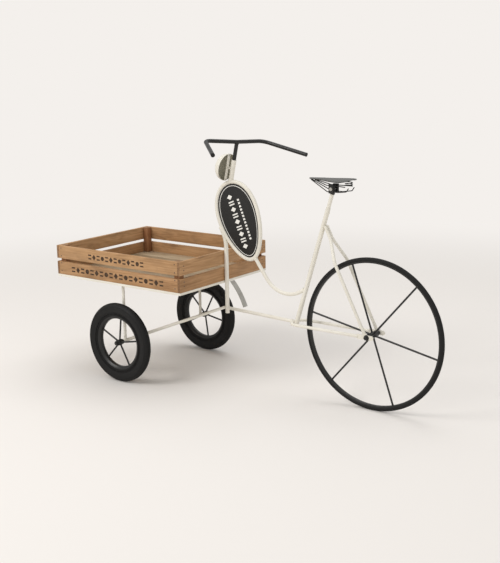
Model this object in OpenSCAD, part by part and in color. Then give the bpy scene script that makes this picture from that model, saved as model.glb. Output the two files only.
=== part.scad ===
// Front-loading display tricycle with a slatted wooden crate.
// Millimetres. +X points to the large rear wheel, -X is the direction of travel,
// -Y is the rider's left, +Z is up. The origin is on the ground, in the middle of the plan.

/* [Wheels] */
// Distance between the front axle and the rear axle
wheelbase = 850; // [705:5:1020]
// Distance between the middle planes of the two front wheels
track = 456; // [380:2:560]
// Outer radius of the rear wheel
rear_wheel_r = 240; // [200:1:288]
// Outer radius of the front wheels
front_wheel_r = 136; // [113:1:164]
// Section diameter of the rear tyre
rear_tyre_d = 14; // [10:0.5:20]
// Width of a front tyre
front_tyre_w = 32; // [24:1:42]
// Radius of the opening inside a front rim
front_rim_r = 83; // [66:1:95]
// Number of spokes in the rear wheel
rear_spoke_count = 6; // [4:1:12]
// Number of spokes in a front wheel
front_spoke_count = 5; // [4:1:10]
// Diameter of every spoke
spoke_d = 6; // [4:0.5:7]
// Diameter of the wheel axles
axle_d = 8; // [6:0.5:10]
// Outer diameter of the hubs
hub_d = 20; // [16:1:28]
// Length of the rear hub
rear_hub_len = 50; // [40:1:56]
// Length of a front hub
front_hub_len = 24; // [20:0.2:34]

/* [Crate] */
// Length of the crate along the tricycle
crate_len = 563; // [470:1:660]
// Width of the crate across the tricycle
crate_w = 462; // [385:1:556]
// How far the crate reaches in front of the front axle
crate_overhang = 282; // [235:1:320]
// Height of one slat
slat_h = 45; // [36:1:54]
// Gap between the upper and the lower slat
slat_gap = 11; // [6:0.5:16]
// Thickness of a slat
slat_t = 10; // [7:0.5:13]
// Side of a square corner post
corner_post = 22; // [16:1:28]
// Number of floor boards
board_count = 6; // [4:1:8]
// Thickness of a floor board
board_t = 8; // [5:0.5:12]
// Gap between two floor boards
board_gap = 3; // [1:0.5:6]

/* [Tray] */
// Height of the tray's top above the ground
tray_z = 342; // [310:1:400]
// Side of the square tray rails
rail = 8; // [6:0.5:12]
// Distance from the front axle to the second crossbar
crossbar_step = 150; // [100:5:200]

/* [Frame] */
// Diameter of the stays, struts, brace and beam
stay_d = 10; // [8:0.5:12]
// Diameter of the bottom bar
bottom_bar_d = 11; // [9:0.5:14]
// Diameter of the curved down tube
down_tube_d = 12; // [9:0.5:14]
// Diameter of the front post
front_post_d = 14; // [10:0.5:18]
// Outer diameter of the seat tube
seat_tube_d = 14.5; // [14.5:0.5:18]
// Length of the seat tube from the bottom bar's height
seat_tube_len = 396; // [340:1:475]
// Lean of the seat tube from the vertical, towards the rear
seat_angle = 17.5; // [12:0.5:22]
// Gap between the rear tyre and the middle of the seat tube's foot
seat_foot_gap = 39; // [30:1:60]
// Sideways distance from the middle plane to each rear stay
stay_half_gap = 36; // [33:1:44]
// Height on the seat tube where the stays leave it
stay_top_s = 340; // [300:1:380]
// Length of the stub of the front post under the bottom bar
post_stub = 18; // [8:1:24]
// How much higher the bottom bar is at its front end than at its rear end
bar_rise = 8; // [0:1:16]
// How far the curved down tube hangs below its rear end
down_sag = 60; // [40:2:90]

/* [Sign] */
// Half of the sign hoop's width, to the middle of its tube
sign_half_w = 80; // [66:1:96]
// Half of the sign hoop's length, to the middle of its tube
sign_half_l = 131; // [108:1:158]
// Lean of the sign's long axis, its top towards the front
sign_tilt = 21.5; // [15:0.5:28]
// How much wider the hoop is at its top than in the middle, as a share
sign_taper = 0.2; // [0:0.01:0.3]
// Diameter of the hoop's tube
hoop_d = 13; // [10:0.5:16]
// Distance from the front post back to the middle of the sign
sign_back = 60; // [50:1:80]
// Height of the middle of the sign
sign_z = 549; // [530:1:600]
// Thickness of the sign plate
plate_t = 2; // [1:0.25:4]

/* [Steering] */
// Lean of the head tube from the vertical, its top towards the rear
head_angle = 12.5; // [8:0.5:18]
// Outer diameter of the head tube
head_tube_d = 16; // [15:0.5:20]
// Length of the head tube
head_tube_len = 77; // [64:1:92]
// Diameter of the handlebar's stem
stem_d = 12.7; // [11:0.1:13]
// Length of the stem that shows between the head tube and the bar
stem_show = 60; // [48:1:80]
// Diameter of the handlebar
bar_d = 13; // [11:0.5:16]
// Half of the straight part's width, between the two bends
bar_bend_y = 114; // [95:1:136]
// Half of the width over the grip ends
grip_end_y = 180; // [150:1:216]
// How far the grips sweep back from the bends
grip_sweep = 146; // [120:1:175]
// How far the grip ends drop under the bar
grip_drop = 36; // [25:1:50]
// Angle that the bar is turned from straight ahead
bar_turn = -18; // [-40:1:40]

/* [Lamp] */
// Radius of the lamp bowl's rim
lamp_r = 45; // [37:1:54]
// Depth of the lamp bowl
lamp_depth = 34; // [28:1:42]
// Wall of the lamp bowl
lamp_wall = 1.5; // [1:0.1:3]
// Distance from the head tube's axis forward to the lamp bar
lamp_reach = 24; // [18:1:30]

/* [Saddle] */
// Diameter of the seat post
seat_post_d = 12; // [9.5:0.5:12]
// Length of the seat post that shows above the seat tube
seat_post_show = 40; // [34:1:70]
// Length of the saddle
saddle_len = 152; // [126:1:182]
// Width of the saddle at its back
saddle_w = 104; // [86:1:124]
// Thickness of the saddle's pan
saddle_t = 7; // [4:0.5:10]
// Diameter of the saddle's wires
wire_d = 3; // [2.5:0.25:4]

/* [Hidden] */

// Colours
cream = [0.90, 0.88, 0.81];
satin_black = [0.07, 0.07, 0.07];
rubber = [0.05, 0.05, 0.05];
timber = [0.74, 0.57, 0.38];
grey_steel = [0.60, 0.59, 0.55];
white_paint = [0.92, 0.92, 0.90];

// Clearances
running = 0.05;     // radial play of a pin or post that turns or slides in a bore
end_play = 0.3;     // gap between the end of a hub and the washer beside it
weld = 0.5;         // how deep a welded end sinks into the tube it meets
eps = 1;            // overshoot of a cutting body past the face it cuts
facets = 48;        // facets of round shapes
screw_sides = 32;   // facets of small screws and spokes
wheel_facets = 180; // facets of the large wheel's rings
small_facets = 120; // facets of the small wheels' rings
tube_sides = 16;    // sides of a bent tube
wire_sides = 8;     // sides of a bent wire
hoop_sides = 12;    // sides of the sign's hoop
wire_bend_steps = 3;        // steps of each bend in a wire
upper_wire_lead = 8;        // straight run of the upper wire ahead of the clamp
upper_wire_trail = 6;       // and behind it
upper_wire_spread = 6;      // how far the upper wire spreads towards the back
upper_wire_drop = 1;        // and how far it falls
lower_wire_lead = 6;        // straight run of the lower wire ahead of the clamp
lower_wire_trail = 16;      // and behind it
lower_wire_spread = 4;      // how far the lower wire spreads towards the back
lower_wire_lift = 4;        // and how far it rises
tray_screw_rows = [0.35, 0.75];     // places of the tray screws from the middle to the strut
saddle_nose_share = 0.17;   // nose width as a share of the full width
saddle_flare_rate = 1.12;   // how early the saddle reaches its full width
saddle_flare_power = 2.2;   // how slowly it starts to widen
saddle_back_from = 0.86;    // where the rounded back starts
saddle_back_round = 0.92;   // how far the back is rounded off
saddle_nose_to = 0.08;      // where the rounded nose ends
bend_steps = 7;     // steps of a tube's bend

// Places along the tricycle
total_len = rear_wheel_r + wheelbase + crate_overhang;
rear_x = total_len / 2 - rear_wheel_r;
front_x = rear_x - wheelbase;
crate_front_x = front_x - crate_overhang;
crate_rear_x = crate_front_x + crate_len;
bar_z = rear_wheel_r;
bar_front_z = bar_z + bar_rise;
post_x = crate_rear_x + front_post_d / 2;

// Rear triangle
seat_dir = [sin(seat_angle), 0, cos(seat_angle)];
seat_foot = [rear_x - rear_wheel_r - seat_foot_gap, 0, bar_z];
hoop_apex_x = seat_foot[0] - seat_tube_d / 2 - stay_d / 2;
dropout_t = 4;
dropout_edge = 3;
dropout_h = axle_d + 2 * dropout_edge;
dropout_front = 34;
dropout_back = 22;
axle_nut_af = 13;
axle_nut_t = 5;
rear_washer_t = 1.6;
axle_end = 4;
spacer_wall = 3;
washer_edge = 4.5;
rear_axle_half = stay_half_gap + dropout_t / 2 + rear_washer_t + axle_nut_t + axle_end;
seat_stay_sink = 3;
seat_stay_upper = 43;
seat_stay_lower = 117;
seat_stay_bend_r = 45;
seat_stay_end_gap = 2;
seat_stay_end_x = axle_d / 2 + seat_stay_end_gap;
stay_top_gap = 0.2;
stay_top_half = stay_d / 2 + stay_top_gap;
down_joint_s = 120;
down_straight = 25;
down_bend_steps = 12;
chain_bend_r = stay_half_gap - 0.5;
chain_bend_steps = 10;
post_lean_h = 42;
post_bend_r = 110;
post_bend_steps = 5;
post_sink = 2;

// Front axle
front_washer_t = 2;
hub_room = front_hub_len / 2 + end_play;
front_washer_edge = 4;
beam_wall = 1.5;
beam_d = axle_d + 2 * beam_wall;
strut_inset = 8.7;
beam_half = track / 2 - hub_room - front_washer_t;
strut_y = beam_half - stay_d / 2 - strut_inset;
strut_top_y = min(strut_y, crate_w / 2 - rail - stay_d);
brace_end_y = strut_y - stay_d;
stub_grip = 60;
stub_end = 1.5;
stub_tip = track / 2 + hub_room + front_washer_t + axle_nut_t + stub_end;
brace_bend_r = 28;
brace_bend_steps = 12;
brace_rounds = 6;

// Tray and crate
tray_bottom = tray_z - rail;
crate_h = 2 * slat_h + slat_gap;
post_inset = slat_t + corner_post / 2;
strap_r = 240;
strap_from = 45;
strap_sweep = 24;
strap_spare = 2;
strap_w = 22;
strap_t = 2;
strap_y = 36;
nail_bite = 13;
nail_len = slat_t + nail_bite;
nail_sink = 0.6;
nail_head_d = 4.5;
nail_head_h = 0.8;
nail_d = 2;
side_nail_dz = 13.5;
end_nail_dz = 7.2;
tray_screw_head_d = 6;
tray_screw_head_h = 2;
tray_screw_d = 3;
lamp_screw_inset = 3.5;
lamp_screw_nose = 2;
lamp_screw_head_d = 5;
lamp_screw_head_h = 1.5;
lamp_screw_d = 2.5;
grub_play = 0.05;
seat_grub_d = 5;
seat_grub_show = 1.5;
seat_grub_drop = 14;
head_grub_d = 4;
head_grub_show = 1.5;
head_grub_drop = 12;

// Sign
sign_x = post_x + sign_back;
plate_inset = hoop_d / 2 - weld;
plate_back_y = plate_t / 2;
plate_front_y = plate_back_y - plate_t;
line_h = 0.4;
line_w = 1.8;
line_inset = 6;
lozenge_rows = 3;
lozenge_pitch = 26;
lozenge_half_w = 12.8;
lozenge_half_l = 9.2;
stripe_x = 27;
stripe_half_l = 65;
hoop_steps = 72;
post_joint = 178;
down_joint = 281;
head_joint = 82;

// Steering
head_dir = [sin(head_angle), 0, cos(head_angle)];
head_sink = 3;
head_bore_floor = 8;
stem_from = 20;
head_foot = hoop_point(head_joint) - head_dir * head_sink;
head_top = head_foot + head_dir * head_tube_len;
bar_middle = head_top + head_dir * stem_show;
bar_bend_x = -13;
bar_bend_rise = 2.5;
bar_bend_r = 30;
bar_bend_steps = 8;
cap_t = 3;
cap_edge = 0.3;

// Lamp
lamp_s = 46;
lamp_bar_t = 2.5;
lamp_bar_w = 12;
lamp_boss_d = 8;
bowl_steps = 16;

// Saddle
post_top_s = seat_tube_len + seat_post_show;
post_inserted = 130;
bore_spare = 60;
clamp_rise = 24;
core_seat = 12;
core_collar_gap = 4;
clamp_s = post_top_s + clamp_rise;
clamp_pin = seat_foot + seat_dir * clamp_s;
clamp_bolt_d = 6;
bolt_play = 0.1;
bolt_head_t = 3;
bolt_head_edge = 2.5;
bolt_nut_edge = 3;
core_collar_wall = 1.5;
core_gap = 0.3;
core_collar_d = seat_post_d + 2 * core_collar_wall;
core_half = core_collar_d / 2 + core_gap;
core_collar_s = clamp_s - core_collar_gap;
core_collar_h = 14;
core_barrel_d = 13;
plate_play = 0.3;
inner_plate_t = 3;
outer_plate_t = 2;
clamp_plate_l = 18;
clamp_lip = 3;
rail_rise = 10;
rail_fall = -9;
rail_y = core_half + plate_play + inner_plate_t + wire_d / 2;
clamp_outer_y = rail_y + wire_d / 2 + outer_plate_t;
saddle_rise = 25;
saddle_ahead = 87.4;
saddle_under_z = clamp_pin[2] + saddle_rise;
saddle_nose_x = clamp_pin[0] - saddle_ahead;
saddle_tail = saddle_len - saddle_ahead;
saddle_steps = 30;
wire_gap = 0.1;
wire_nose_y = 2.6;
upper_wire_from = 21;
lower_wire_from = 7;
upper_wire_end = 13;
lower_wire_corner = 10;
lower_wire_end = 2.3;
wire_bend_r = 14;
lower_wire_bend_r = 6;
spring_r = 11;
spring_turns = 2.5;
spring_steps = 40;
spring_wire_d = 2.6;
spring_gap = 0.3;
spring_ahead = 11.4;

// Wheels
rear_rim_in = rear_wheel_r - rear_tyre_d - 3;
rear_rim_half = rear_tyre_d / 2 - 1.1;
rear_rim_t = 5.9;
rear_spoke_phase = 49;
left_spoke_phase = 11;
right_spoke_phase = -10;
spoke_seat = 1;
rim_t = 9;
rim_in_half = front_tyre_w / 2 - 9.6;
rim_out_half = front_tyre_w / 2 - 4.5;
bead_half = front_tyre_w / 2 - 3.2;
tyre_bead_r = front_rim_r + rim_t;

// ---------------------------------------------------------------- helpers

function unit(v) = v / norm(v);

// A point on the sign hoop's centre line, for an angle around the egg
function egg_local(t, inset = 0) = [
    (sign_half_w - inset) * cos(t) * (1 + sign_taper * sin(t)),
    (sign_half_l - inset) * sin(t)
];
function hoop_point(t) = let (p = egg_local(t)) [
    sign_x + p[0] * cos(sign_tilt) - p[1] * sin(sign_tilt),
    0,
    sign_z + p[0] * sin(sign_tilt) + p[1] * cos(sign_tilt)
];

// A bend of radius r in place of the corner b of the path a, b, c
function bend(a, b, c, r, steps = bend_steps) = let (
    d1 = unit(b - a),
    d2 = unit(c - b),
    turn = acos(min(1, d1 * d2)),
    start = b - d1 * r * tan(turn / 2),
    n = unit(d2 - d1 * (d1 * d2)),
    centre = start + n * r
) [for (i = [0:steps]) let (f = turn * i / steps) centre + r * (d1 * sin(f) - n * cos(f))];

// A path through the corners pts, with a bend at each inner corner
function bent_path(pts, r, steps = bend_steps) = [
    pts[0],
    for (i = [1:len(pts) - 2]) each bend(pts[i - 1], pts[i], pts[i + 1], r, steps),
    pts[len(pts) - 1]
];

// The direction of a path at its point i
function heading(path, i, closed) = let (
    n = len(path),
    before = closed || i > 0 ? unit(path[i] - path[(i + n - 1) % n]) : [0, 0, 0],
    after = closed || i < n - 1 ? unit(path[(i + 1) % n] - path[i]) : [0, 0, 0]
) unit(before + after);

// A round tube swept along a path. up is any direction that the path never runs along.
module sweep(path, d, up, closed = false, sides = tube_sides) {
    n = len(path);
    points = [
        for (i = [0:n - 1]) let (
            t = heading(path, i, closed),
            side = unit(cross(t, up)),
            top = cross(side, t)
        ) for (k = [0:sides - 1]) let (a = 360 * k / sides)
            path[i] + d / 2 * (side * cos(a) + top * sin(a))
    ];
    last = closed ? n - 1 : n - 2;
    walls = [
        for (i = [0:last], k = [0:sides - 1]) let (
            j = (i + 1) % n,
            m = (k + 1) % sides
        ) [i * sides + k, i * sides + m, j * sides + m, j * sides + k]
    ];
    caps = closed ? [] : [
        [for (k = [sides - 1:-1:0]) k],
        [for (k = [0:sides - 1]) (n - 1) * sides + k]
    ];
    polyhedron(points = points, faces = concat(walls, caps), convexity = 8);
}

// A straight round bar from a to b
module rod(a, b, d, sides = facets) {
    v = b - a;
    translate(a)
        rotate([0, acos(v[2] / norm(v)), atan2(v[1], v[0])])
            cylinder(h = norm(v), d = d, $fn = sides);
}

// A round bar across the tricycle at x and z, from y0 to y1
module cross_rod(x, z, y0, y1, d, sides = facets)
    translate([x, y0, z]) rotate([-90, 0, 0]) cylinder(h = y1 - y0, d = d, $fn = sides);

// The same shape on the left and on the right
module both_sides() {
    children();
    mirror([0, 1, 0]) children();
}

// A hexagonal nut on the axle line at x and z, from y0 outwards
module axle_nut(x, z, y0)
    difference() {
        cross_rod(x, z, y0, y0 + axle_nut_t, axle_nut_af / cos(30), 6);
        cross_rod(x, z, y0 - eps, y0 + axle_nut_t + eps, axle_d);
    }

// A flat ring on the axle line at x and z, from y0 to y1
module axle_ring(x, z, y0, y1, d)
    difference() {
        cross_rod(x, z, y0, y1, d);
        cross_rod(x, z, y0 - eps, y1 + eps, axle_d);
    }

// A round-headed screw at p. Its head stands out along dir and its shank points the other way.
module screw(p, dir, len, head_d, head_h, shank_d) {
    rod(p, p + dir * head_h, head_d, screw_sides);
    rod(p - dir * len, p, shank_d, screw_sides);
}

// ---------------------------------------------------------------- frame

// Seat tube with the bore that takes the seat post
module seat_tube()
    color(cream)
        difference() {
            rod(seat_foot - seat_dir * seat_tube_d, seat_foot + seat_dir * seat_tube_len, seat_tube_d);
            rod(seat_foot + seat_dir * (seat_tube_len - post_inserted - bore_spare),
                seat_foot + seat_dir * (seat_tube_len + eps), seat_post_d + 2 * running);
            translate([seat_foot[0] - 2 * seat_tube_d, -seat_tube_d, bar_z - stay_d / 2 - 4 * seat_tube_d])
                cube([4 * seat_tube_d, 2 * seat_tube_d, 4 * seat_tube_d]);
        }

// Straight bar from the front post back to the stays, at the height of the rear axle
module bottom_bar()
    color(cream)
        difference() {
            rod([post_x, 0, bar_front_z], [hoop_apex_x - stay_d / 2 + weld, 0, bar_z], bottom_bar_d);
            rod([post_x, 0, 0], [post_x, 0, 2 * bar_z], front_post_d);
        }

// Bent tube that hangs from the sign hoop and rises to the seat tube
module down_tube() {
    from = hoop_point(down_joint);
    to = seat_foot + seat_dir * down_joint_s;
    low = [(from[0] + to[0]) / 2, 0, min(from[2], to[2]) - down_sag];
    turn = acos(unit(low - from) * unit(to - low));
    bend_r = (min(norm(low - from), norm(to - low)) - down_straight) / tan(turn / 2);
    color(cream)
        difference() {
            sweep(bent_path([from, low, to], bend_r, down_bend_steps), down_tube_d, [0, 1, 0]);
            rod(seat_foot, seat_foot + seat_dir * seat_tube_len, seat_tube_d);
        }
}

// Post behind the crate that bends forward at its top and runs into the hoop
module front_post() {
    joint = hoop_point(post_joint) - [front_post_d / 2 - post_sink, 0, 0];
    color(cream)
        sweep(bent_path([
            [post_x, 0, bar_front_z - post_stub],
            [post_x, 0, joint[2] - post_lean_h],
            joint
        ], post_bend_r, post_bend_steps), front_post_d, [0, 1, 0]);
}

// Head tube with the bore that takes the stem
module head_tube()
    color(cream)
        difference() {
            rod(head_foot, head_top, head_tube_d);
            rod(head_foot + head_dir * head_bore_floor, head_top + head_dir * eps, stem_d + 2 * running);
        }

// One tube bent round the seat tube's foot, whose two ends run back to the rear axle
module chainstay_hoop() {
    end_x = rear_x - dropout_front;
    corner_x = hoop_apex_x;
    color(cream)
        sweep(bent_path([
            [end_x, -stay_half_gap, bar_z],
            [corner_x, -stay_half_gap, bar_z],
            [corner_x, stay_half_gap, bar_z],
            [end_x, stay_half_gap, bar_z]
        ], chain_bend_r, chain_bend_steps), stay_d, [0, 0, 1]);
}

// Stay from the back of the seat tube, past its outward kink, down to a dropout
module seat_stay(side) {
    behind = seat_tube_d / 2 + stay_d / 2;
    back = [cos(seat_angle), 0, -sin(seat_angle)];
    top = seat_foot + seat_dir * stay_top_s + back * (behind - seat_stay_sink);
    low = [rear_x - seat_stay_end_x, 0, bar_z + dropout_h / 2];
    down = unit(low - top);
    out = [0, side, 0];
    color(cream)
        sweep(bent_path([
            top + out * stay_top_half,
            top + down * seat_stay_upper + out * stay_top_half,
            top + down * seat_stay_lower + out * stay_half_gap,
            low + out * stay_half_gap
        ], seat_stay_bend_r, post_bend_steps), stay_d, [1, 0, 0]);
}
module seat_stay_left() seat_stay(-1);
module seat_stay_right() seat_stay(1);

// Flat plates at the ends of the stays, drilled for the rear axle
module dropouts()
    color(cream)
        both_sides()
            difference() {
                union() {
                    translate([
                        rear_x - dropout_front,
                        stay_half_gap - dropout_t / 2,
                        bar_z - dropout_h / 2
                    ])
                        cube([dropout_front + dropout_back - dropout_h / 2, dropout_t, dropout_h]);
                    cross_rod(rear_x + dropout_back - dropout_h / 2, bar_z,
                        stay_half_gap - dropout_t / 2, stay_half_gap + dropout_t / 2, dropout_h);
                }
                cross_rod(rear_x, bar_z, stay_half_gap - dropout_t, stay_half_gap + dropout_t, axle_d);
            }

module rear_axle()
    color(satin_black) cross_rod(rear_x, bar_z, -rear_axle_half, rear_axle_half, axle_d);

module rear_axle_nuts()
    color(satin_black)
        both_sides() axle_nut(rear_x, bar_z, stay_half_gap + dropout_t / 2 + rear_washer_t);

// Sleeves between the hub and the dropouts, and the washers under the nuts
module rear_spacers()
    color(satin_black)
        both_sides() {
            axle_ring(rear_x, bar_z, rear_hub_len / 2 + end_play, stay_half_gap - dropout_t / 2,
                axle_d + 2 * spacer_wall);
            axle_ring(rear_x, bar_z, stay_half_gap + dropout_t / 2,
                stay_half_gap + dropout_t / 2 + rear_washer_t, axle_d + 2 * washer_edge);
        }

// Tube between the front wheels, bored at each end for a stub axle
module axle_beam()
    color(cream)
        difference() {
            cross_rod(front_x, front_wheel_r, -beam_half, beam_half, beam_d);
            both_sides()
                cross_rod(front_x, front_wheel_r, beam_half - stub_grip, beam_half + eps, axle_d);
        }

module stub_axles()
    color(satin_black)
        both_sides() cross_rod(front_x, front_wheel_r, beam_half - stub_grip, stub_tip, axle_d);

module front_washers()
    color(satin_black)
        both_sides() {
            axle_ring(front_x, front_wheel_r, beam_half, beam_half + front_washer_t,
                axle_d + 2 * front_washer_edge);
            axle_ring(front_x, front_wheel_r, track / 2 + hub_room,
                track / 2 + hub_room + front_washer_t, axle_d + 2 * front_washer_edge);
        }

module front_axle_nuts()
    color(satin_black)
        both_sides() axle_nut(front_x, front_wheel_r, track / 2 + hub_room + front_washer_t);

// How far the corner of the V lies past its bent nose, found by repeating the estimate
function brace_reach(run, guess = 0, rounds = brace_rounds) = rounds == 0 ? guess :
    brace_reach(run, brace_bend_r * (1 / sin(atan2(brace_end_y, run + guess)) - 1), rounds - 1);

// One tube bent to a V. Its ends meet the axle beam and its nose meets the front post.
module front_brace() {
    nose = [post_x - front_post_d / 2 - stay_d / 2 + weld, 0, bar_front_z];
    middle = [front_x, 0, front_wheel_r];
    run = norm(nose - middle);
    corner = nose + unit(nose - middle) * brace_reach(run);
    color(cream)
        difference() {
            sweep(bent_path([
                [front_x, -brace_end_y, front_wheel_r],
                corner,
                [front_x, brace_end_y, front_wheel_r]
            ], brace_bend_r, brace_bend_steps), stay_d, [0, 0, 1]);
            cross_rod(front_x, front_wheel_r, -beam_half, beam_half, beam_d);
        }
}

// Upright struts between the axle beam and the tray's crossbar
module struts()
    color(cream)
        both_sides()
            difference() {
                rod([front_x, strut_y, front_wheel_r], [front_x, strut_top_y, tray_bottom + eps], stay_d);
                translate([front_x - stay_d, 0, tray_bottom]) cube([2 * stay_d, crate_w, rail]);
                cross_rod(front_x, front_wheel_r, strut_y - stay_d, strut_y + stay_d, beam_d);
            }

// ---------------------------------------------------------------- tray

module tray_side_rails()
    color(cream)
        both_sides()
            translate([crate_front_x, crate_w / 2 - rail, tray_bottom]) cube([crate_len, rail, rail]);

module tray_end_rails()
    color(cream)
        for (x = [crate_front_x, crate_rear_x - rail])
            translate([x, -crate_w / 2 + rail, tray_bottom]) cube([rail, crate_w - 2 * rail, rail]);

module tray_crossbars()
    color(cream)
        for (x = [front_x, front_x + crossbar_step])
            translate([x - stay_d / 2, -crate_w / 2 + rail, tray_bottom])
                cube([stay_d, crate_w - 2 * rail, rail]);

// Flat strap under the rear rail, bent to an arc and cut off square
module curved_strap()
    color(grey_steel)
        translate([
            crate_rear_x - strap_r * cos(strap_from) + strap_t,
            strap_y + strap_w / 2,
            tray_bottom - strap_r * sin(strap_from)
        ])
            rotate([90, 0, 0])
                difference() {
                    rotate([0, 0, strap_from - strap_sweep])
                        rotate_extrude(angle = strap_sweep + strap_spare, $fn = small_facets)
                            translate([strap_r - strap_t, 0]) square([strap_t, strap_w]);
                    translate([0, strap_r * sin(strap_from), -eps])
                        cube([strap_r, strap_r, strap_w + 2 * eps]);
                }

// ---------------------------------------------------------------- sign

module sign_hoop()
    color(cream)
        sweep([for (i = [0:hoop_steps - 1]) hoop_point(360 * i / hoop_steps)],
            hoop_d, [0, 1, 0], closed = true, sides = hoop_sides);

// Stands a flat drawing of the sign up in its place, with its back at the plate's height y
module on_sign(y)
    translate([sign_x, y, sign_z])
        rotate([90, 0, 0])
            rotate([0, 0, sign_tilt])
                children();

// The egg-shaped outline, a distance inside the hoop's centre line
module egg(inset)
    polygon([for (i = [0:hoop_steps - 1]) egg_local(360 * i / hoop_steps, inset)]);

module sign_plate()
    color(satin_black)
        on_sign(plate_back_y)
            linear_extrude(plate_t) egg(plate_inset);

// Raised white border line and a plain row of lozenges and bars
module sign_lines()
    color(white_paint)
        on_sign(plate_front_y)
            linear_extrude(line_h) {
                difference() {
                    egg(plate_inset + line_inset);
                    egg(plate_inset + line_inset + line_w);
                }
                for (k = [-lozenge_rows:lozenge_rows])
                    translate([0, k * lozenge_pitch])
                        polygon([
                            [-lozenge_half_w, 0], [0, -lozenge_half_l],
                            [lozenge_half_w, 0], [0, lozenge_half_l]
                        ]);
                for (s = [-1, 1])
                    translate([s * stripe_x - line_w, -stripe_half_l])
                        square([2 * line_w, 2 * stripe_half_l]);
            }

// ---------------------------------------------------------------- steering and lamp

// Turns the handlebar from straight ahead about the head tube's axis
module turned()
    translate(bar_middle)
        rotate(a = bar_turn, v = head_dir)
            translate(-bar_middle)
                children();

function bar_corner(side) = bar_middle + [bar_bend_x, side * bar_bend_y, bar_bend_rise];
function grip_end(side) =
    bar_middle + [bar_bend_x + grip_sweep, side * grip_end_y, bar_bend_rise - grip_drop];

module handlebar()
    color(satin_black)
        turned()
            sweep(bent_path([
                grip_end(-1), bar_corner(-1), bar_middle, bar_corner(1), grip_end(1)
            ], bar_bend_r, bar_bend_steps), bar_d, [0, 0, 1]);

// Stem from inside the head tube up to the bar
module handlebar_stem()
    color(satin_black)
        turned() rod(head_foot + head_dir * stem_from, bar_middle, stem_d);

module bar_end_caps()
    color(satin_black)
        turned()
            for (side = [-1, 1]) {
                outward = unit(grip_end(side) - bar_corner(side));
                rod(grip_end(side), grip_end(side) + outward * cap_t, bar_d + 2 * cap_edge);
            }

// Puts a shape that is drawn upright at the lamp, with +Z pointing forward out of the bowl
module at_lamp() {
    back = head_foot + head_dir * lamp_s;
    forward = [-cos(head_angle), 0, sin(head_angle)];
    translate(back + forward * lamp_reach)
        rotate([0, -90 + head_angle, 0])
            children();
}

// Half of an ellipse with radius r and depth h, to turn round the Z axis
module bowl_profile(r, h)
    polygon(concat([[0, 0]], [
        for (i = [0:bowl_steps]) let (a = 90 * i / bowl_steps) [r * cos(a), h * sin(a)]
    ]));

// Shallow bowl with its round side forward and its back open
module lamp_bowl()
    color(cream)
        at_lamp()
            rotate_extrude($fn = facets)
                difference() {
                    bowl_profile(lamp_r, lamp_depth);
                    bowl_profile(lamp_r - lamp_wall, lamp_depth - lamp_wall);
                }

// Flat bar across the bowl's open back
module lamp_bar()
    color(cream)
        at_lamp()
            translate([-lamp_r, -lamp_bar_w / 2, -lamp_bar_t])
                cube([2 * lamp_r, lamp_bar_w, lamp_bar_t]);

// Short round boss from the bar to the head tube
module lamp_boss()
    color(cream)
        difference() {
            at_lamp()
                translate([0, 0, -lamp_reach]) 
                    cylinder(h = lamp_reach - lamp_bar_t, d = lamp_boss_d, $fn = facets);
            rod(head_foot, head_top, head_tube_d);
        }

// ---------------------------------------------------------------- crate

// Upper and lower slat, drawn as boxes from the corner with the size given
module slat_pair(x, y, len_x, len_y)
    for (level = [0, 1])
        translate([x, y, tray_z + level * (slat_h + slat_gap)])
            cube([len_x, len_y, slat_h]);

module slats_left()
    color(timber)
        slat_pair(crate_front_x + slat_t, -crate_w / 2, crate_len - 2 * slat_t, slat_t);
module slats_right()
    color(timber)
        slat_pair(crate_front_x + slat_t, crate_w / 2 - slat_t, crate_len - 2 * slat_t, slat_t);
module slats_front() color(timber) slat_pair(crate_front_x, -crate_w / 2, slat_t, crate_w);
module slats_rear() color(timber) slat_pair(crate_rear_x - slat_t, -crate_w / 2, slat_t, crate_w);

function end_face_x(end) = end < 0 ? crate_front_x : crate_rear_x;
function corner_x(end) = end < 0 ? crate_front_x + post_inset : crate_rear_x - post_inset;
corner_y = crate_w / 2 - post_inset;

// Square posts inside the four corners, standing on the floor boards
module crate_posts()
    color(timber)
        for (end = [-1, 1], side = [-1, 1])
            translate([
                corner_x(end) - corner_post / 2,
                side * corner_y - corner_post / 2,
                tray_z + board_t
            ])
                cube([corner_post, corner_post, crate_h - board_t]);

module floor_boards() {
    inner_w = crate_w - 2 * slat_t;
    board_w = (inner_w - (board_count - 1) * board_gap) / board_count;
    color(timber)
        for (i = [0:board_count - 1])
            translate([crate_front_x + slat_t, -inner_w / 2 + i * (board_w + board_gap), tray_z])
                cube([crate_len - 2 * slat_t, board_w, board_t]);
}

// Two nails in each end of every slat
module crate_nails()
    color(grey_steel)
        for (end = [-1, 1], side = [-1, 1], level = [0, 1], row = [-1, 1]) {
            z = tray_z + board_t / 2 + slat_h / 2 + level * (slat_h + slat_gap - board_t / 2);
            screw([corner_x(end), side * (crate_w / 2 - nail_sink), z + row * side_nail_dz],
                [0, side, 0], nail_len, nail_head_d, nail_head_h, nail_d);
            screw([end_face_x(end) - end * nail_sink, side * corner_y, z + row * end_nail_dz],
                [end, 0, 0], nail_len, nail_head_d, nail_head_h, nail_d);
        }

// ---------------------------------------------------------------- fasteners

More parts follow.
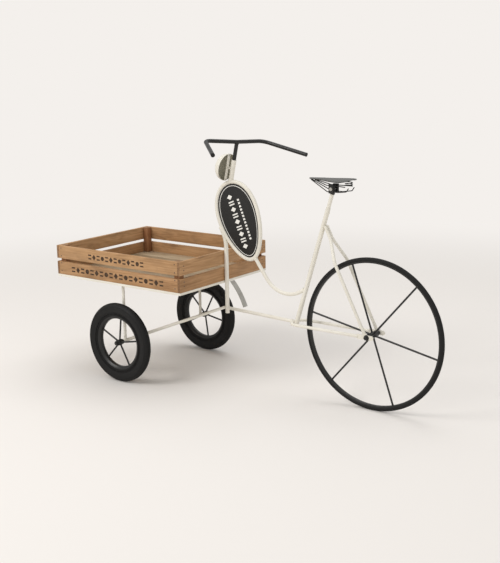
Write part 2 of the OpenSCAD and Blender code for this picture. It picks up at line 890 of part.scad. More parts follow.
// Screws that hold the lamp and the crate
module small_screws()
    color(grey_steel) {
        for (end = [-1, 1])
            at_lamp() translate([end * (lamp_r - lamp_screw_inset), 0, -lamp_bar_t])
                screw([0, 0, 0], [0, 0, -1], lamp_bar_t + lamp_screw_nose,
                    lamp_screw_head_d, lamp_screw_head_h, lamp_screw_d);
        for (x = [front_x, front_x + crossbar_step], side = [-1, 1], row = tray_screw_rows)
            translate([x, side * row * (strut_top_y - stay_d), tray_bottom])
                screw([0, 0, 0], [0, 0, -1], rail + board_t - eps,
                    tray_screw_head_d, tray_screw_head_h, tray_screw_d);
    }

// Headless screws that hold the seat post and the stem
module grub_screws()
    color(satin_black) {
        seat_hold = seat_foot + seat_dir * (seat_tube_len - seat_grub_drop);
        seat_out = [cos(seat_angle), 0, -sin(seat_angle)];
        head_hold = head_top - head_dir * head_grub_drop;
        head_out = [cos(head_angle), 0, -sin(head_angle)];
        rod(seat_hold + seat_out * (seat_post_d / 2 + running + grub_play),
            seat_hold + seat_out * (seat_tube_d / 2 + seat_grub_show), seat_grub_d);
        rod(head_hold + head_out * (stem_d / 2 + running + grub_play),
            head_hold + head_out * (head_tube_d / 2 + head_grub_show), head_grub_d);
    }

// ---------------------------------------------------------------- saddle

module seat_post()
    color(cream)
        rod(seat_foot + seat_dir * (seat_tube_len - post_inserted),
            seat_foot + seat_dir * (clamp_s - core_seat), seat_post_d);

// Collar pressed on the post, with the barrel that carries the tilt bolt
module clamp_core()
    color(satin_black)
        difference() {
            union() {
                rod(seat_foot + seat_dir * (core_collar_s - core_collar_h),
                    seat_foot + seat_dir * core_collar_s, core_collar_d);
                cross_rod(clamp_pin[0], clamp_pin[2], -core_half, core_half, core_barrel_d);
            }
            rod(seat_foot + seat_dir * (post_top_s - eps),
                seat_foot + seat_dir * (clamp_s - core_seat), seat_post_d);
            cross_rod(clamp_pin[0], clamp_pin[2], -2 * core_half, 2 * core_half, clamp_bolt_d);
        }

// Cross bolt with a round head on the left and a nut on the right
module clamp_bolt()
    color(satin_black) {
        inner = clamp_outer_y + bolt_play;
        outer = inner + bolt_head_t;
        cross_rod(clamp_pin[0], clamp_pin[2], -inner, outer, clamp_bolt_d);
        cross_rod(clamp_pin[0], clamp_pin[2], -outer, -inner, clamp_bolt_d + 2 * bolt_head_edge);
        difference() {
            cross_rod(clamp_pin[0], clamp_pin[2], inner, outer, clamp_bolt_d + 2 * bolt_nut_edge, 6);
            cross_rod(clamp_pin[0], clamp_pin[2], 0, outer + eps, clamp_bolt_d - eps / 2);
        }
    }

// Plates on both sides of the wires, on the cross bolt
module clamp_plates()
    color(satin_black)
        both_sides()
            for (layer = [
                [core_half + plate_play, inner_plate_t],
                [rail_y + wire_d / 2, outer_plate_t]
            ])
                difference() {
                    translate([
                        clamp_pin[0] - clamp_plate_l / 2,
                        layer[0],
                        clamp_pin[2] + rail_fall - wire_d / 2 - clamp_lip
                    ])
                        cube([clamp_plate_l, layer[1], rail_rise - rail_fall + wire_d + 2 * clamp_lip]);
                    cross_rod(clamp_pin[0], clamp_pin[2], 0, 4 * rail_y, clamp_bolt_d + 2 * running);
                }

// The saddle's outline, from its round nose to its broad back
function saddle_flare(f) =
    saddle_nose_share
    + (1 - saddle_nose_share) * pow(sin(90 * min(1, f * saddle_flare_rate)), saddle_flare_power);
function saddle_round_back(f) =
    f > saddle_back_from
        ? sqrt(1 - pow((f - saddle_back_from) / (1 - saddle_back_from), 2) * saddle_back_round)
        : 1;
function saddle_round_nose(f) =
    f < saddle_nose_to ? sqrt(1 - pow((saddle_nose_to - f) / saddle_nose_to, 2)) : 1;
function saddle_edge(f) =
    saddle_w / 2 * saddle_flare(f) * saddle_round_back(f) * saddle_round_nose(f);

function saddle_point(f, side) = [f * saddle_len, side * saddle_edge(f)];

module saddle_top()
    color(satin_black)
        translate([saddle_nose_x, 0, saddle_under_z])
            linear_extrude(saddle_t)
                polygon(concat(
                    [for (i = [0:saddle_steps]) saddle_point(i / saddle_steps, 1)],
                    [for (i = [saddle_steps:-1:0]) saddle_point(i / saddle_steps, -1)]
                ));

// Upper and lower wire on each side, from the nose through the clamp to the back
module saddle_rails() {
    under = saddle_under_z - wire_d / 2 - wire_gap;
    half_plate = clamp_plate_l / 2;
    color(satin_black)
        both_sides() {
            sweep(bent_path([
                [saddle_nose_x + upper_wire_from, wire_nose_y, under],
                clamp_pin + [-half_plate - upper_wire_lead, rail_y, rail_rise],
                clamp_pin + [half_plate + upper_wire_trail, rail_y, rail_rise],
                clamp_pin + [
                    saddle_tail - upper_wire_end,
                    rail_y + upper_wire_spread,
                    rail_rise - upper_wire_drop
                ]
            ], wire_bend_r, wire_bend_steps), wire_d, [0, 0, 1], sides = wire_sides);
            sweep(bent_path([
                [saddle_nose_x + lower_wire_from, wire_nose_y, under],
                clamp_pin + [-half_plate - lower_wire_lead, rail_y, rail_fall],
                clamp_pin + [half_plate + lower_wire_trail, rail_y, rail_fall],
                clamp_pin + [
                    saddle_tail - lower_wire_corner,
                    rail_y + lower_wire_spread,
                    rail_fall + lower_wire_lift
                ],
                clamp_pin + [
                    saddle_tail - lower_wire_end,
                    rail_y + lower_wire_spread,
                    rail_rise - lower_wire_lift
                ]
            ], lower_wire_bend_r, wire_bend_steps), wire_d, [0.01, 1, 0], sides = wire_sides);
        }
}

// Coil spring between the rear ends of the wires and the pan
module saddle_spring() {
    base = clamp_pin + [saddle_tail - spring_ahead, 0, rail_rise + eps];
    rise = saddle_under_z - base[2] - wire_d / 2 - spring_gap;
    color(satin_black)
        sweep([
            for (i = [0:spring_steps]) let (a = 360 * spring_turns * i / spring_steps)
                base + [spring_r * cos(a), spring_r * sin(a), rise * i / spring_steps]
        ], spring_wire_d, [0, 0, 1], sides = wire_sides);
}

// ---------------------------------------------------------------- wheels

// Turns a drawing of a wheel, made round the Z axis, to its axle at x, y and z
module on_axle(x, y, z) translate([x, y, z]) rotate([90, 0, 0]) children();

module rear_tyre()
    color(rubber)
        on_axle(rear_x, 0, rear_wheel_r)
            rotate_extrude($fn = wheel_facets)
                translate([rear_wheel_r - rear_tyre_d / 2, 0]) circle(d = rear_tyre_d, $fn = 32);

module rear_rim()
    color(satin_black)
        on_axle(rear_x, 0, rear_wheel_r)
            rotate_extrude($fn = wheel_facets)
                difference() {
                    translate([rear_rim_in, -rear_rim_half])
                        square([rear_rim_t, 2 * rear_rim_half]);
                    translate([rear_wheel_r - rear_tyre_d / 2, 0]) circle(d = rear_tyre_d, $fn = 32);
                }

// Straight spokes, each end let into the hub and into the rim
module spokes(count, phase, rim_r)
    for (i = [0:count - 1])
        rotate([0, 0, phase + 360 * i / count])
            rotate([0, 90, 0])
                translate([0, 0, hub_d / 2 - spoke_seat])
                    cylinder(h = rim_r - hub_d / 2 + 2 * spoke_seat, d = spoke_d, $fn = screw_sides);

module hub(length)
    difference() {
        cylinder(h = length, d = hub_d, center = true, $fn = facets);
        cylinder(h = length + 2 * eps, d = axle_d + 2 * running, center = true, $fn = facets);
    }

module rear_spokes()
    color(satin_black)
        on_axle(rear_x, 0, rear_wheel_r) spokes(rear_spoke_count, rear_spoke_phase, rear_rim_in);
module rear_hub() color(satin_black) on_axle(rear_x, 0, rear_wheel_r) hub(rear_hub_len);

// Tyre with a round tread and straight sidewalls down to its bead
module front_tyre(side)
    color(rubber)
        on_axle(front_x, side * track / 2, front_wheel_r)
            rotate_extrude($fn = small_facets) {
                crown = front_tyre_w / 2;
                translate([front_wheel_r - crown, 0])
                    intersection() {
                        circle(r = crown, $fn = 48);
                        translate([0, -crown]) square([crown, 2 * crown]);
                    }
                polygon([
                    [tyre_bead_r, -bead_half], [front_wheel_r - crown, -crown],
                    [front_wheel_r - crown, crown], [tyre_bead_r, bead_half]
                ]);
            }

module front_rim(side)
    color(satin_black)
        on_axle(front_x, side * track / 2, front_wheel_r)
            rotate_extrude($fn = small_facets)
                polygon([
                    [front_rim_r, -rim_in_half], [tyre_bead_r, -rim_out_half],
                    [tyre_bead_r, rim_out_half], [front_rim_r, rim_in_half]
                ]);

module front_spokes(side, phase)
    color(satin_black)
        on_axle(front_x, side * track / 2, front_wheel_r) spokes(front_spoke_count, phase, front_rim_r);
module front_hub(side)
    color(satin_black) on_axle(front_x, side * track / 2, front_wheel_r) hub(front_hub_len);

module front_tyre_left() front_tyre(-1);
module front_tyre_right() front_tyre(1);
module front_rim_left() front_rim(-1);
module front_rim_right() front_rim(1);
module front_spokes_left() front_spokes(-1, left_spoke_phase);
module front_spokes_right() front_spokes(1, right_spoke_phase);
module front_hub_left() front_hub(-1);
module front_hub_right() front_hub(1);

// ---------------------------------------------------------------- assembly

seat_tube();
bottom_bar();
down_tube();
front_post();
head_tube();
chainstay_hoop();
seat_stay_left();
seat_stay_right();
dropouts();
rear_axle();
rear_axle_nuts();
rear_spacers();
axle_beam();
stub_axles();
front_washers();
front_axle_nuts();
front_brace();
struts();
tray_side_rails();
tray_end_rails();
tray_crossbars();
curved_strap();
sign_hoop();
sign_plate();
sign_lines();
lamp_bowl();
lamp_bar();
lamp_boss();
slats_left();
slats_right();
slats_front();
slats_rear();
crate_posts();
floor_boards();
crate_nails();
small_screws();
grub_screws();
seat_post();
clamp_core();
clamp_bolt();
saddle_top();
saddle_rails();
saddle_spring();
clamp_plates();
handlebar();
handlebar_stem();
bar_end_caps();
rear_tyre();
rear_rim();
rear_spokes();
rear_hub();
front_tyre_left();
front_rim_left();
front_spokes_left();
front_hub_left();
front_tyre_right();
front_rim_right();
front_spokes_right();
front_hub_right();
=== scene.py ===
"""Finished model of a front-loading display tricycle with a slatted wooden crate.

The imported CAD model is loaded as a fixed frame. Each sub-assembly is a class that builds its
pieces in millimetres, in the frame's own axes, and dresses them with procedural finishes.
"""

from __future__ import annotations

import logging
import math
import random
from dataclasses import dataclass
from enum import Enum
from typing import Iterable, Sequence

import bmesh
import bpy
from bmesh.types import BMEdge, BMFace, BMVert
from mathutils import Matrix, Vector

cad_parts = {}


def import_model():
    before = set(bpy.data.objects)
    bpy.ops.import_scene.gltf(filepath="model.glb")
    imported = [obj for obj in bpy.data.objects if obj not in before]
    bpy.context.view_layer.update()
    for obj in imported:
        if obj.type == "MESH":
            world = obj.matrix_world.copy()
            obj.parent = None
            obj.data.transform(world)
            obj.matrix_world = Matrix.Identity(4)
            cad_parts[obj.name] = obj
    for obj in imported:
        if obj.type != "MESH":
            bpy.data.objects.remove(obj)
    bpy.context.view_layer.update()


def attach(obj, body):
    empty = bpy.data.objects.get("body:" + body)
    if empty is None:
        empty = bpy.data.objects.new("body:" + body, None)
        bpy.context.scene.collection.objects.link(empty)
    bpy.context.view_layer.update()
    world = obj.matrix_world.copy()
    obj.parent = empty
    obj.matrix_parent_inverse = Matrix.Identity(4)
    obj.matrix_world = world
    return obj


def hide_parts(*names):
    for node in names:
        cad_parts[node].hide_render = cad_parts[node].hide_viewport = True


LOG = logging.getLogger("tricycle")
MM = 0.001
X_AXIS = Vector((1, 0, 0))
Y_AXIS = Vector((0, 1, 0))
Z_AXIS = Vector((0, 0, 1))

MOUTH_CHAMFER = 0.4  # the inner edge of a tube's open mouth
MOUTH_ROLL = 0.5     # its outer edge
FOOT_ROLL = 1.0      # the edge of its closed foot
BEAD_WIDTH = 0.9     # how far a weld stands off its tube, as a share of its radius
BEAD_LENGTH = 1.25   # how far it runs along the tube
BEAD_SIDES = 10
WASHER_EDGE = 0.4
NUT_EDGE = 0.7

Socket = bpy.types.NodeSocket
Material = bpy.types.Material
Colour = tuple[float, float, float]
Scale = tuple[float, float, float]
Profile = tuple[tuple[float, float], ...]


class Body(Enum):
    """The moving bodies of the tricycle."""

    FRAME = "frame"
    SEAT_POST = "seat_post"
    SADDLE = "saddle"
    HANDLEBAR = "handlebar"
    REAR_WHEEL = "rear_wheel"
    WHEEL_LEFT = "front_wheel_left"
    WHEEL_RIGHT = "front_wheel_right"


class Side(Enum):
    """The rider's left and right, as the sign of Y."""

    LEFT = -1
    RIGHT = 1

    @property
    def out(self) -> Vector:
        """The way out to this side."""
        return Y_AXIS * self.value


def linear(code: str) -> Colour:
    """Turn a hex colour into linear light.

    Args:
        code: Six hex digits, such as "e8e4d8".

    Returns:
        The red, green and blue parts in linear light.
    """
    parts = [int(code[i:i + 2], 16) / 255 for i in (0, 2, 4)]
    red, green, blue = (
        p / 12.92 if p <= 0.04045 else ((p + 0.055) / 1.055) ** 2.4 for p in parts
    )
    return (red, green, blue)


def show(made: bpy.types.Object) -> None:
    """Put an object in the scene."""
    bpy.context.scene.collection.objects.link(made)


# ---- finishes


class Graph:
    """A material's node tree, with short calls that add and join nodes."""

    def __init__(self, name: str) -> None:
        """Start a material with one Principled shader.

        Args:
            name: The material's name.
        """
        self.material = bpy.data.materials.new(name)
        self.material.use_nodes = True
        self.tree = self.material.node_tree
        self.shader = self.tree.nodes["Principled BSDF"]

    def node(self, kind: str, **settings: object) -> bpy.types.Node:
        """Add a node.

        Args:
            kind: The node's type, without its "ShaderNode" start.
            **settings: Attributes to set on it.

        Returns:
            The new node.
        """
        made = self.tree.nodes.new("ShaderNode" + kind)
        for key, value in settings.items():
            setattr(made, key, value)
        return made

    def join(self, out: Socket, into: Socket) -> None:
        """Link one socket to another."""
        self.tree.links.new(out, into)

    def place(self, scale: Sequence[float], attribute: str = "") -> Socket:
        """Give the coordinates of a pattern.

        Args:
            scale: How much each axis is stretched.
            attribute: A vector attribute to read in place of Object coordinates.

        Returns:
            The scaled vector.
        """
        if attribute:
            source = self.node("Attribute", attribute_name=attribute).outputs["Vector"]
        else:
            source = self.node("TexCoord").outputs["Object"]
        mapping = self.node("Mapping")
        mapping.inputs["Scale"].default_value = scale
        self.join(source, mapping.inputs["Vector"])
        return mapping.outputs["Vector"]

    def noise(self, vector: Socket, scale: float, detail: float = 3.0,
              rough: float = 0.5, distortion: float = 0.0) -> Socket:
        """Add a noise pattern and return its value."""
        made = self.node("TexNoise")
        made.inputs["Scale"].default_value = scale
        made.inputs["Detail"].default_value = detail
        made.inputs["Roughness"].default_value = rough
        made.inputs["Distortion"].default_value = distortion
        self.join(vector, made.inputs["Vector"])
        return made.outputs["Fac"]

    def ramp(self, value: Socket, stops: Sequence[tuple[float, Colour]]) -> Socket:
        """Turn a value into a colour.

        Args:
            value: The value to read.
            stops: Positions and their colours, from low to high.

        Returns:
            The colour.
        """
        made = self.node("ValToRGB")
        band = made.color_ramp
        while len(band.elements) < len(stops):
            band.elements.new(1.0)
        for element, (position, colour) in zip(band.elements, stops):
            element.position = position
            element.color = (*colour, 1.0)
        self.join(value, made.inputs["Fac"])
        return made.outputs["Color"]

    def spread(self, value: Socket, low: float, high: float, to_low: float,
               to_high: float) -> Socket:
        """Stretch the range low..high of a value to to_low..to_high and return it."""
        made = self.node("MapRange")
        self.join(value, made.inputs["Value"])
        for key, number in (("From Min", low), ("From Max", high),
                            ("To Min", to_low), ("To Max", to_high)):
            made.inputs[key].default_value = number
        return made.outputs["Result"]

    def mix(self, factor: Socket | float, first: object, second: object,
            blend: str = "MIX") -> Socket:
        """Mix two colours.

        Args:
            factor: The share of the second one, as a socket or a number.
            first: A colour or a socket.
            second: A colour or a socket.
            blend: The way they are mixed.

        Returns:
            The mixed colour.
        """
        made = self.node("Mix", data_type="RGBA", blend_type=blend)
        for socket, value in ((made.inputs[0], factor), (made.inputs[6], first),
                              (made.inputs[7], second)):
            if isinstance(value, Socket):
                self.join(value, socket)
            elif isinstance(value, float):
                socket.default_value = value
            else:
                socket.default_value = (*value, 1.0)
        return made.outputs[2]

    def sum(self, first: Socket, second: Socket | float,
            operation: str = "ADD") -> Socket:
        """Combine two values by an operation and return the result."""
        made = self.node("Math", operation=operation)
        self.join(first, made.inputs[0])
        if isinstance(second, Socket):
            self.join(second, made.inputs[1])
        else:
            made.inputs[1].default_value = second
        return made.outputs[0]

    def bump(self, height: Socket, strength: float, distance: float) -> None:
        """Let a height pattern raise the surface.

        Args:
            height: The pattern.
            strength: How strongly it shows.
            distance: Its height in metres.
        """
        made = self.node("Bump")
        made.inputs["Strength"].default_value = strength
        made.inputs["Distance"].default_value = distance
        self.join(height, made.inputs["Height"])
        self.join(made.outputs["Normal"], self.shader.inputs["Normal"])

    def dress(self, colour: Socket, roughness: Socket | float,
              **fixed: float) -> Material:
        """Connect the pattern to the shader.

        Args:
            colour: The base colour.
            roughness: A socket or a number.
            **fixed: Other shader inputs, with underscores for spaces.

        Returns:
            The finished material.
        """
        self.join(colour, self.shader.inputs["Base Color"])
        if isinstance(roughness, Socket):
            self.join(roughness, self.shader.inputs["Roughness"])
        else:
            self.shader.inputs["Roughness"].default_value = roughness
        for key, value in fixed.items():
            self.shader.inputs[key.replace("_", " ")].default_value = value
        return self.material


@dataclass(frozen=True)
class PowderCoat:
    """Sprayed and baked paint with a fine orange peel, thin dust and a few worn specks."""

    name: str
    colour: Colour
    dusty: Colour
    worn: Colour
    roughness: float = 0.42
    worn_from: float = 0.76
    peel: float = 0.00006
    dust_scale: float = 9.0
    speck_scale: float = 55.0
    gloss_scale: float = 30.0
    peel_scale: float = 900.0

    def build(self) -> Material:
        """Build the material."""
        graph = Graph(self.name)
        place = graph.place((1, 1, 1))
        dust = graph.noise(place, self.dust_scale, 4.0)
        colour = graph.mix(graph.spread(dust, 0.35, 0.75, 0.0, 0.75), self.colour, self.dusty)
        specks = graph.noise(place, self.speck_scale, 5.0, 0.62)
        colour = graph.mix(graph.spread(specks, self.worn_from, self.worn_from + 0.05, 0.0, 0.8),
                           colour, self.worn)
        roughness = graph.spread(graph.noise(place, self.gloss_scale), 0.3, 0.7,
                                 self.roughness - 0.07, self.roughness + 0.09)
        graph.bump(graph.noise(place, self.peel_scale, 2.0), 0.35, self.peel)
        return graph.dress(colour, roughness, Specular_IOR_Level=0.45)


@dataclass(frozen=True)
class Rubber:
    """Dull black rubber with a bloom of dust."""

    name: str
    colour: Colour
    bloom: Colour
    roughness: float = 0.72
    cloud_scale: float = 14.0
    grit_scale: float = 650.0
    grit: float = 0.0001

    def build(self) -> Material:
        """Build the material."""
        graph = Graph(self.name)
        place = graph.place((1, 1, 1))
        cloud = graph.noise(place, self.cloud_scale, 5.0, 0.6)
        colour = graph.mix(graph.spread(cloud, 0.35, 0.75, 0.0, 1.0), self.colour, self.bloom)
        roughness = graph.spread(cloud, 0.3, 0.7, self.roughness - 0.08, self.roughness + 0.1)
        graph.bump(graph.noise(place, self.grit_scale, 3.0), 0.5, self.grit)
        return graph.dress(colour, roughness, Specular_IOR_Level=0.35)


@dataclass(frozen=True)
class Timber:
    """Stained softwood. The pattern follows each board's own "grain" attribute."""

    name: str
    light: Colour
    dark: Colour
    stain: Colour
    end_grain: bool = False
    roughness: float = 0.62
    fibre_scale: Scale = (7, 240, 240)
    end_scale: Scale = (60, 160, 160)
    ring_scale: Scale = (1.7, 17, 17)
    ring_count: float = 62.0
    knot_scale: Scale = (5.5, 19, 19)
    mark_scale: Scale = (9, 22, 22)
    cloud_scale: Scale = (3, 5, 5)
    fibre_depth: float = 0.0005

    def build(self) -> Material:
        """Build the material."""
        graph = Graph(self.name)
        tone = graph.node("Attribute", attribute_name="tone").outputs["Fac"]
        if self.end_grain:
            fibre = graph.noise(graph.place(self.end_scale, "grain"), 1.0, 5.0, 0.65)
        else:
            fibre = graph.noise(graph.place(self.fibre_scale, "grain"), 1.0, 6.0, 0.62, 0.4)
        drift = graph.noise(graph.place(self.ring_scale, "grain"), 1.0, 2.0, 0.5, 0.8)
        rings = graph.sum(graph.sum(drift, self.ring_count, "MULTIPLY"), 0.0, "SINE")
        figure = graph.sum(graph.spread(rings, -1.0, 1.0, 0.36, 0.58),
                           graph.spread(fibre, 0.25, 0.75, -0.26, 0.26))
        colour = graph.ramp(figure, ((0.05, self.light), (0.6, self.dark), (1.0, self.stain)))
        knots = graph.node("TexVoronoi")
        knots.inputs["Scale"].default_value = 1.0
        graph.join(graph.place(self.knot_scale, "grain"), knots.inputs["Vector"])
        knot = graph.spread(knots.outputs["Distance"], 0.05, 0.15, 0.6, 0.0)
        colour = graph.mix(knot, colour, self.stain)
        marks = graph.noise(graph.place(self.mark_scale, "grain"), 1.0, 4.0, 0.6)
        colour = graph.mix(graph.spread(marks, 0.46, 0.74, 0.0, 0.6), colour, self.stain)
        colour = graph.mix(graph.spread(tone, 0.0, 1.0, 0.55, 0.0), colour, self.dark, "MULTIPLY")
        cloud = graph.noise(graph.place(self.cloud_scale, "grain"), 1.0, 2.0, 0.5)
        colour = graph.mix(graph.spread(cloud, 0.4, 0.7, 0.0, 0.4), colour, self.dark)
        graph.bump(fibre, 0.55, self.fibre_depth)
        return graph.dress(colour, graph.spread(fibre, 0.2, 0.8, self.roughness - 0.1,
                                                self.roughness + 0.12),
                           Specular_IOR_Level=0.3)


@dataclass(frozen=True)
class DullMetal:
    """Grey metal that is brushed along one axis and has gone dull."""

    name: str
    colour: Colour
    tarnish: Colour
    metallic: float
    roughness: float
    scratch: Scale = (60, 400, 60)
    cloud_scale: float = 40.0
    scratch_depth: float = 0.00008

    def build(self) -> Material:
        """Build the material."""
        graph = Graph(self.name)
        place = graph.place((1, 1, 1))
        cloud = graph.noise(place, self.cloud_scale, 5.0, 0.6)
        colour = graph.mix(graph.spread(cloud, 0.4, 0.75, 0.0, 0.8), self.colour, self.tarnish)
        brush = graph.noise(graph.place(self.scratch), 1.0, 3.0)
        roughness = graph.spread(brush, 0.3, 0.7, self.roughness - 0.08, self.roughness + 0.1)
        graph.bump(brush, 0.25, self.scratch_depth)
        return graph.dress(colour, roughness, Metallic=self.metallic)


@dataclass(frozen=True)
class PrintedPaint:
    """Thin paint through a stencil, with worn and patchy places."""

    name: str
    colour: Colour
    under: Colour
    patchy: float = 0.5
    patch_scale: float = 160.0
    paint_depth: float = 0.00005

    def build(self) -> Material:
        """Build the material."""
        graph = Graph(self.name)
        place = graph.place((1, 1, 1))
        patch = graph.noise(place, self.patch_scale, 5.0, 0.7)
        colour = graph.mix(graph.spread(patch, 0.52, 0.72, 0.0, self.patchy),
                           self.colour, self.under)
        graph.bump(patch, 0.3, self.paint_depth)
        return graph.dress(colour, 0.6, Specular_IOR_Level=0.3)


class Finish(Enum):
    """Every finish on the tricycle."""

    CREAM = PowderCoat("cream_paint", linear("e9e5da"), linear("d9d3c4"), linear("8a6a4a"))
    # The inside of the lamp bowl: the cream paint darkened to olive grey, painted shade for the
    # bowl's hollow.
    LAMP_INSIDE_SHADE = PowderCoat("lamp_inside_painted_shade", linear("a09c8a"), linear("8b8672"),
                             linear("5f5a48"), roughness=0.5)
    BLACK = PowderCoat("black_paint", linear("161615"), linear("201f1e"), linear("3a3733"),
                       roughness=0.36, worn_from=0.8)
    SIGN_BLACK = PowderCoat("sign_black", linear("141413"), linear("1b1a19"), linear("33312e"),
                            roughness=0.5, worn_from=0.82)
    SADDLE = PowderCoat("saddle_grey", linear("4f4f4d"), linear("686765"), linear("2d2c2b"),
                        roughness=0.5, worn_from=0.74, peel=0.00015)
    RUBBER = Rubber("tyre_rubber", linear("0b0b0b"), linear("161514"), 0.7)
    PLASTIC = Rubber("black_plastic", linear("0f0f0f"), linear("181817"), 0.55)
    TIMBER = Timber("crate_wood", linear("d8af84"), linear("b18a61"), linear("70543a"))
    TIMBER_END = Timber("crate_wood_end", linear("b08c68"), linear("8c6a4a"),
                        linear("644a34"), end_grain=True)
    POST_TIMBER = Timber("crate_post_wood", linear("b3845c"), linear("936745"),
                         linear("6e4a30"))
    FLOOR_TIMBER = Timber("crate_floor_wood", linear("c3b196"), linear("a8957a"),
                          linear("7b684f"))
    ZINC = DullMetal("grey_steel", linear("b5b3ad"), linear("96938b"), 0.35, 0.5)
    NAIL = DullMetal("nail_steel", linear("6b6259"), linear("4a3a2c"), 0.7, 0.5)
    SIGN_WHITE = PrintedPaint("sign_white", linear("f0efe9"), linear("b8b6ae"), 0.45)
    STENCIL = PrintedPaint("stencil_ink", linear("3c2c1e"), linear("8d6a44"), 0.7)


class Paintbox:
    """Builds each finish once."""

    def __init__(self) -> None:
        """Start with no finish built."""
        self.built: dict[Finish, Material] = {}

    def get(self, finish: Finish) -> Material:
        """Give the material of a finish, and build it the first time."""
        if finish not in self.built:
            self.built[finish] = finish.value.build()
        return self.built[finish]


# ---- modelling


def rounded_path(corners: Sequence[Vector], radius: float, steps: int = 8) -> list[Vector]:
    """Lay a path through corners with a bend at each inner one.

    Args:
        corners: The corners in millimetres.
        radius: The bends' radius.
        steps: The steps of one bend.

    Returns:
        The points of the path.
    """
    path = [corners[0].copy()]
    for before, corner, after in zip(corners, corners[1:], corners[2:]):
        enter = (corner - before).normalized()
        leave = (after - corner).normalized()
        turn = enter.angle(leave)
        start = corner - enter * radius * math.tan(turn / 2)
        normal = (leave - enter * enter.dot(leave)).normalized()
        centre = start + normal * radius
        for step in range(steps + 1):
            angle = turn * step / steps
            path.append(centre + radius * (enter * math.sin(angle) - normal * math.cos(angle)))
    path.append(corners[-1].copy())
    return path


def aim(place: Vector, axis: Vector, up: Vector | None = None) -> Matrix:
    """Make the matrix that stands a shape made round Z on an axis.

    Args:
        place: Where its origin goes.
        axis: Where its Z goes.
        up: A direction near to where its Y goes.

    Returns:
        The matrix.
    """
    along = axis.normalized()
    guide = up or (X_AXIS if abs(along.x) < 0.9 else Y_AXIS)
    side = guide.cross(along).normalized()
    top = along.cross(side)
    turn = Matrix((side, top, along)).transposed().to_4x4()
    return Matrix.Translation(place) @ turn


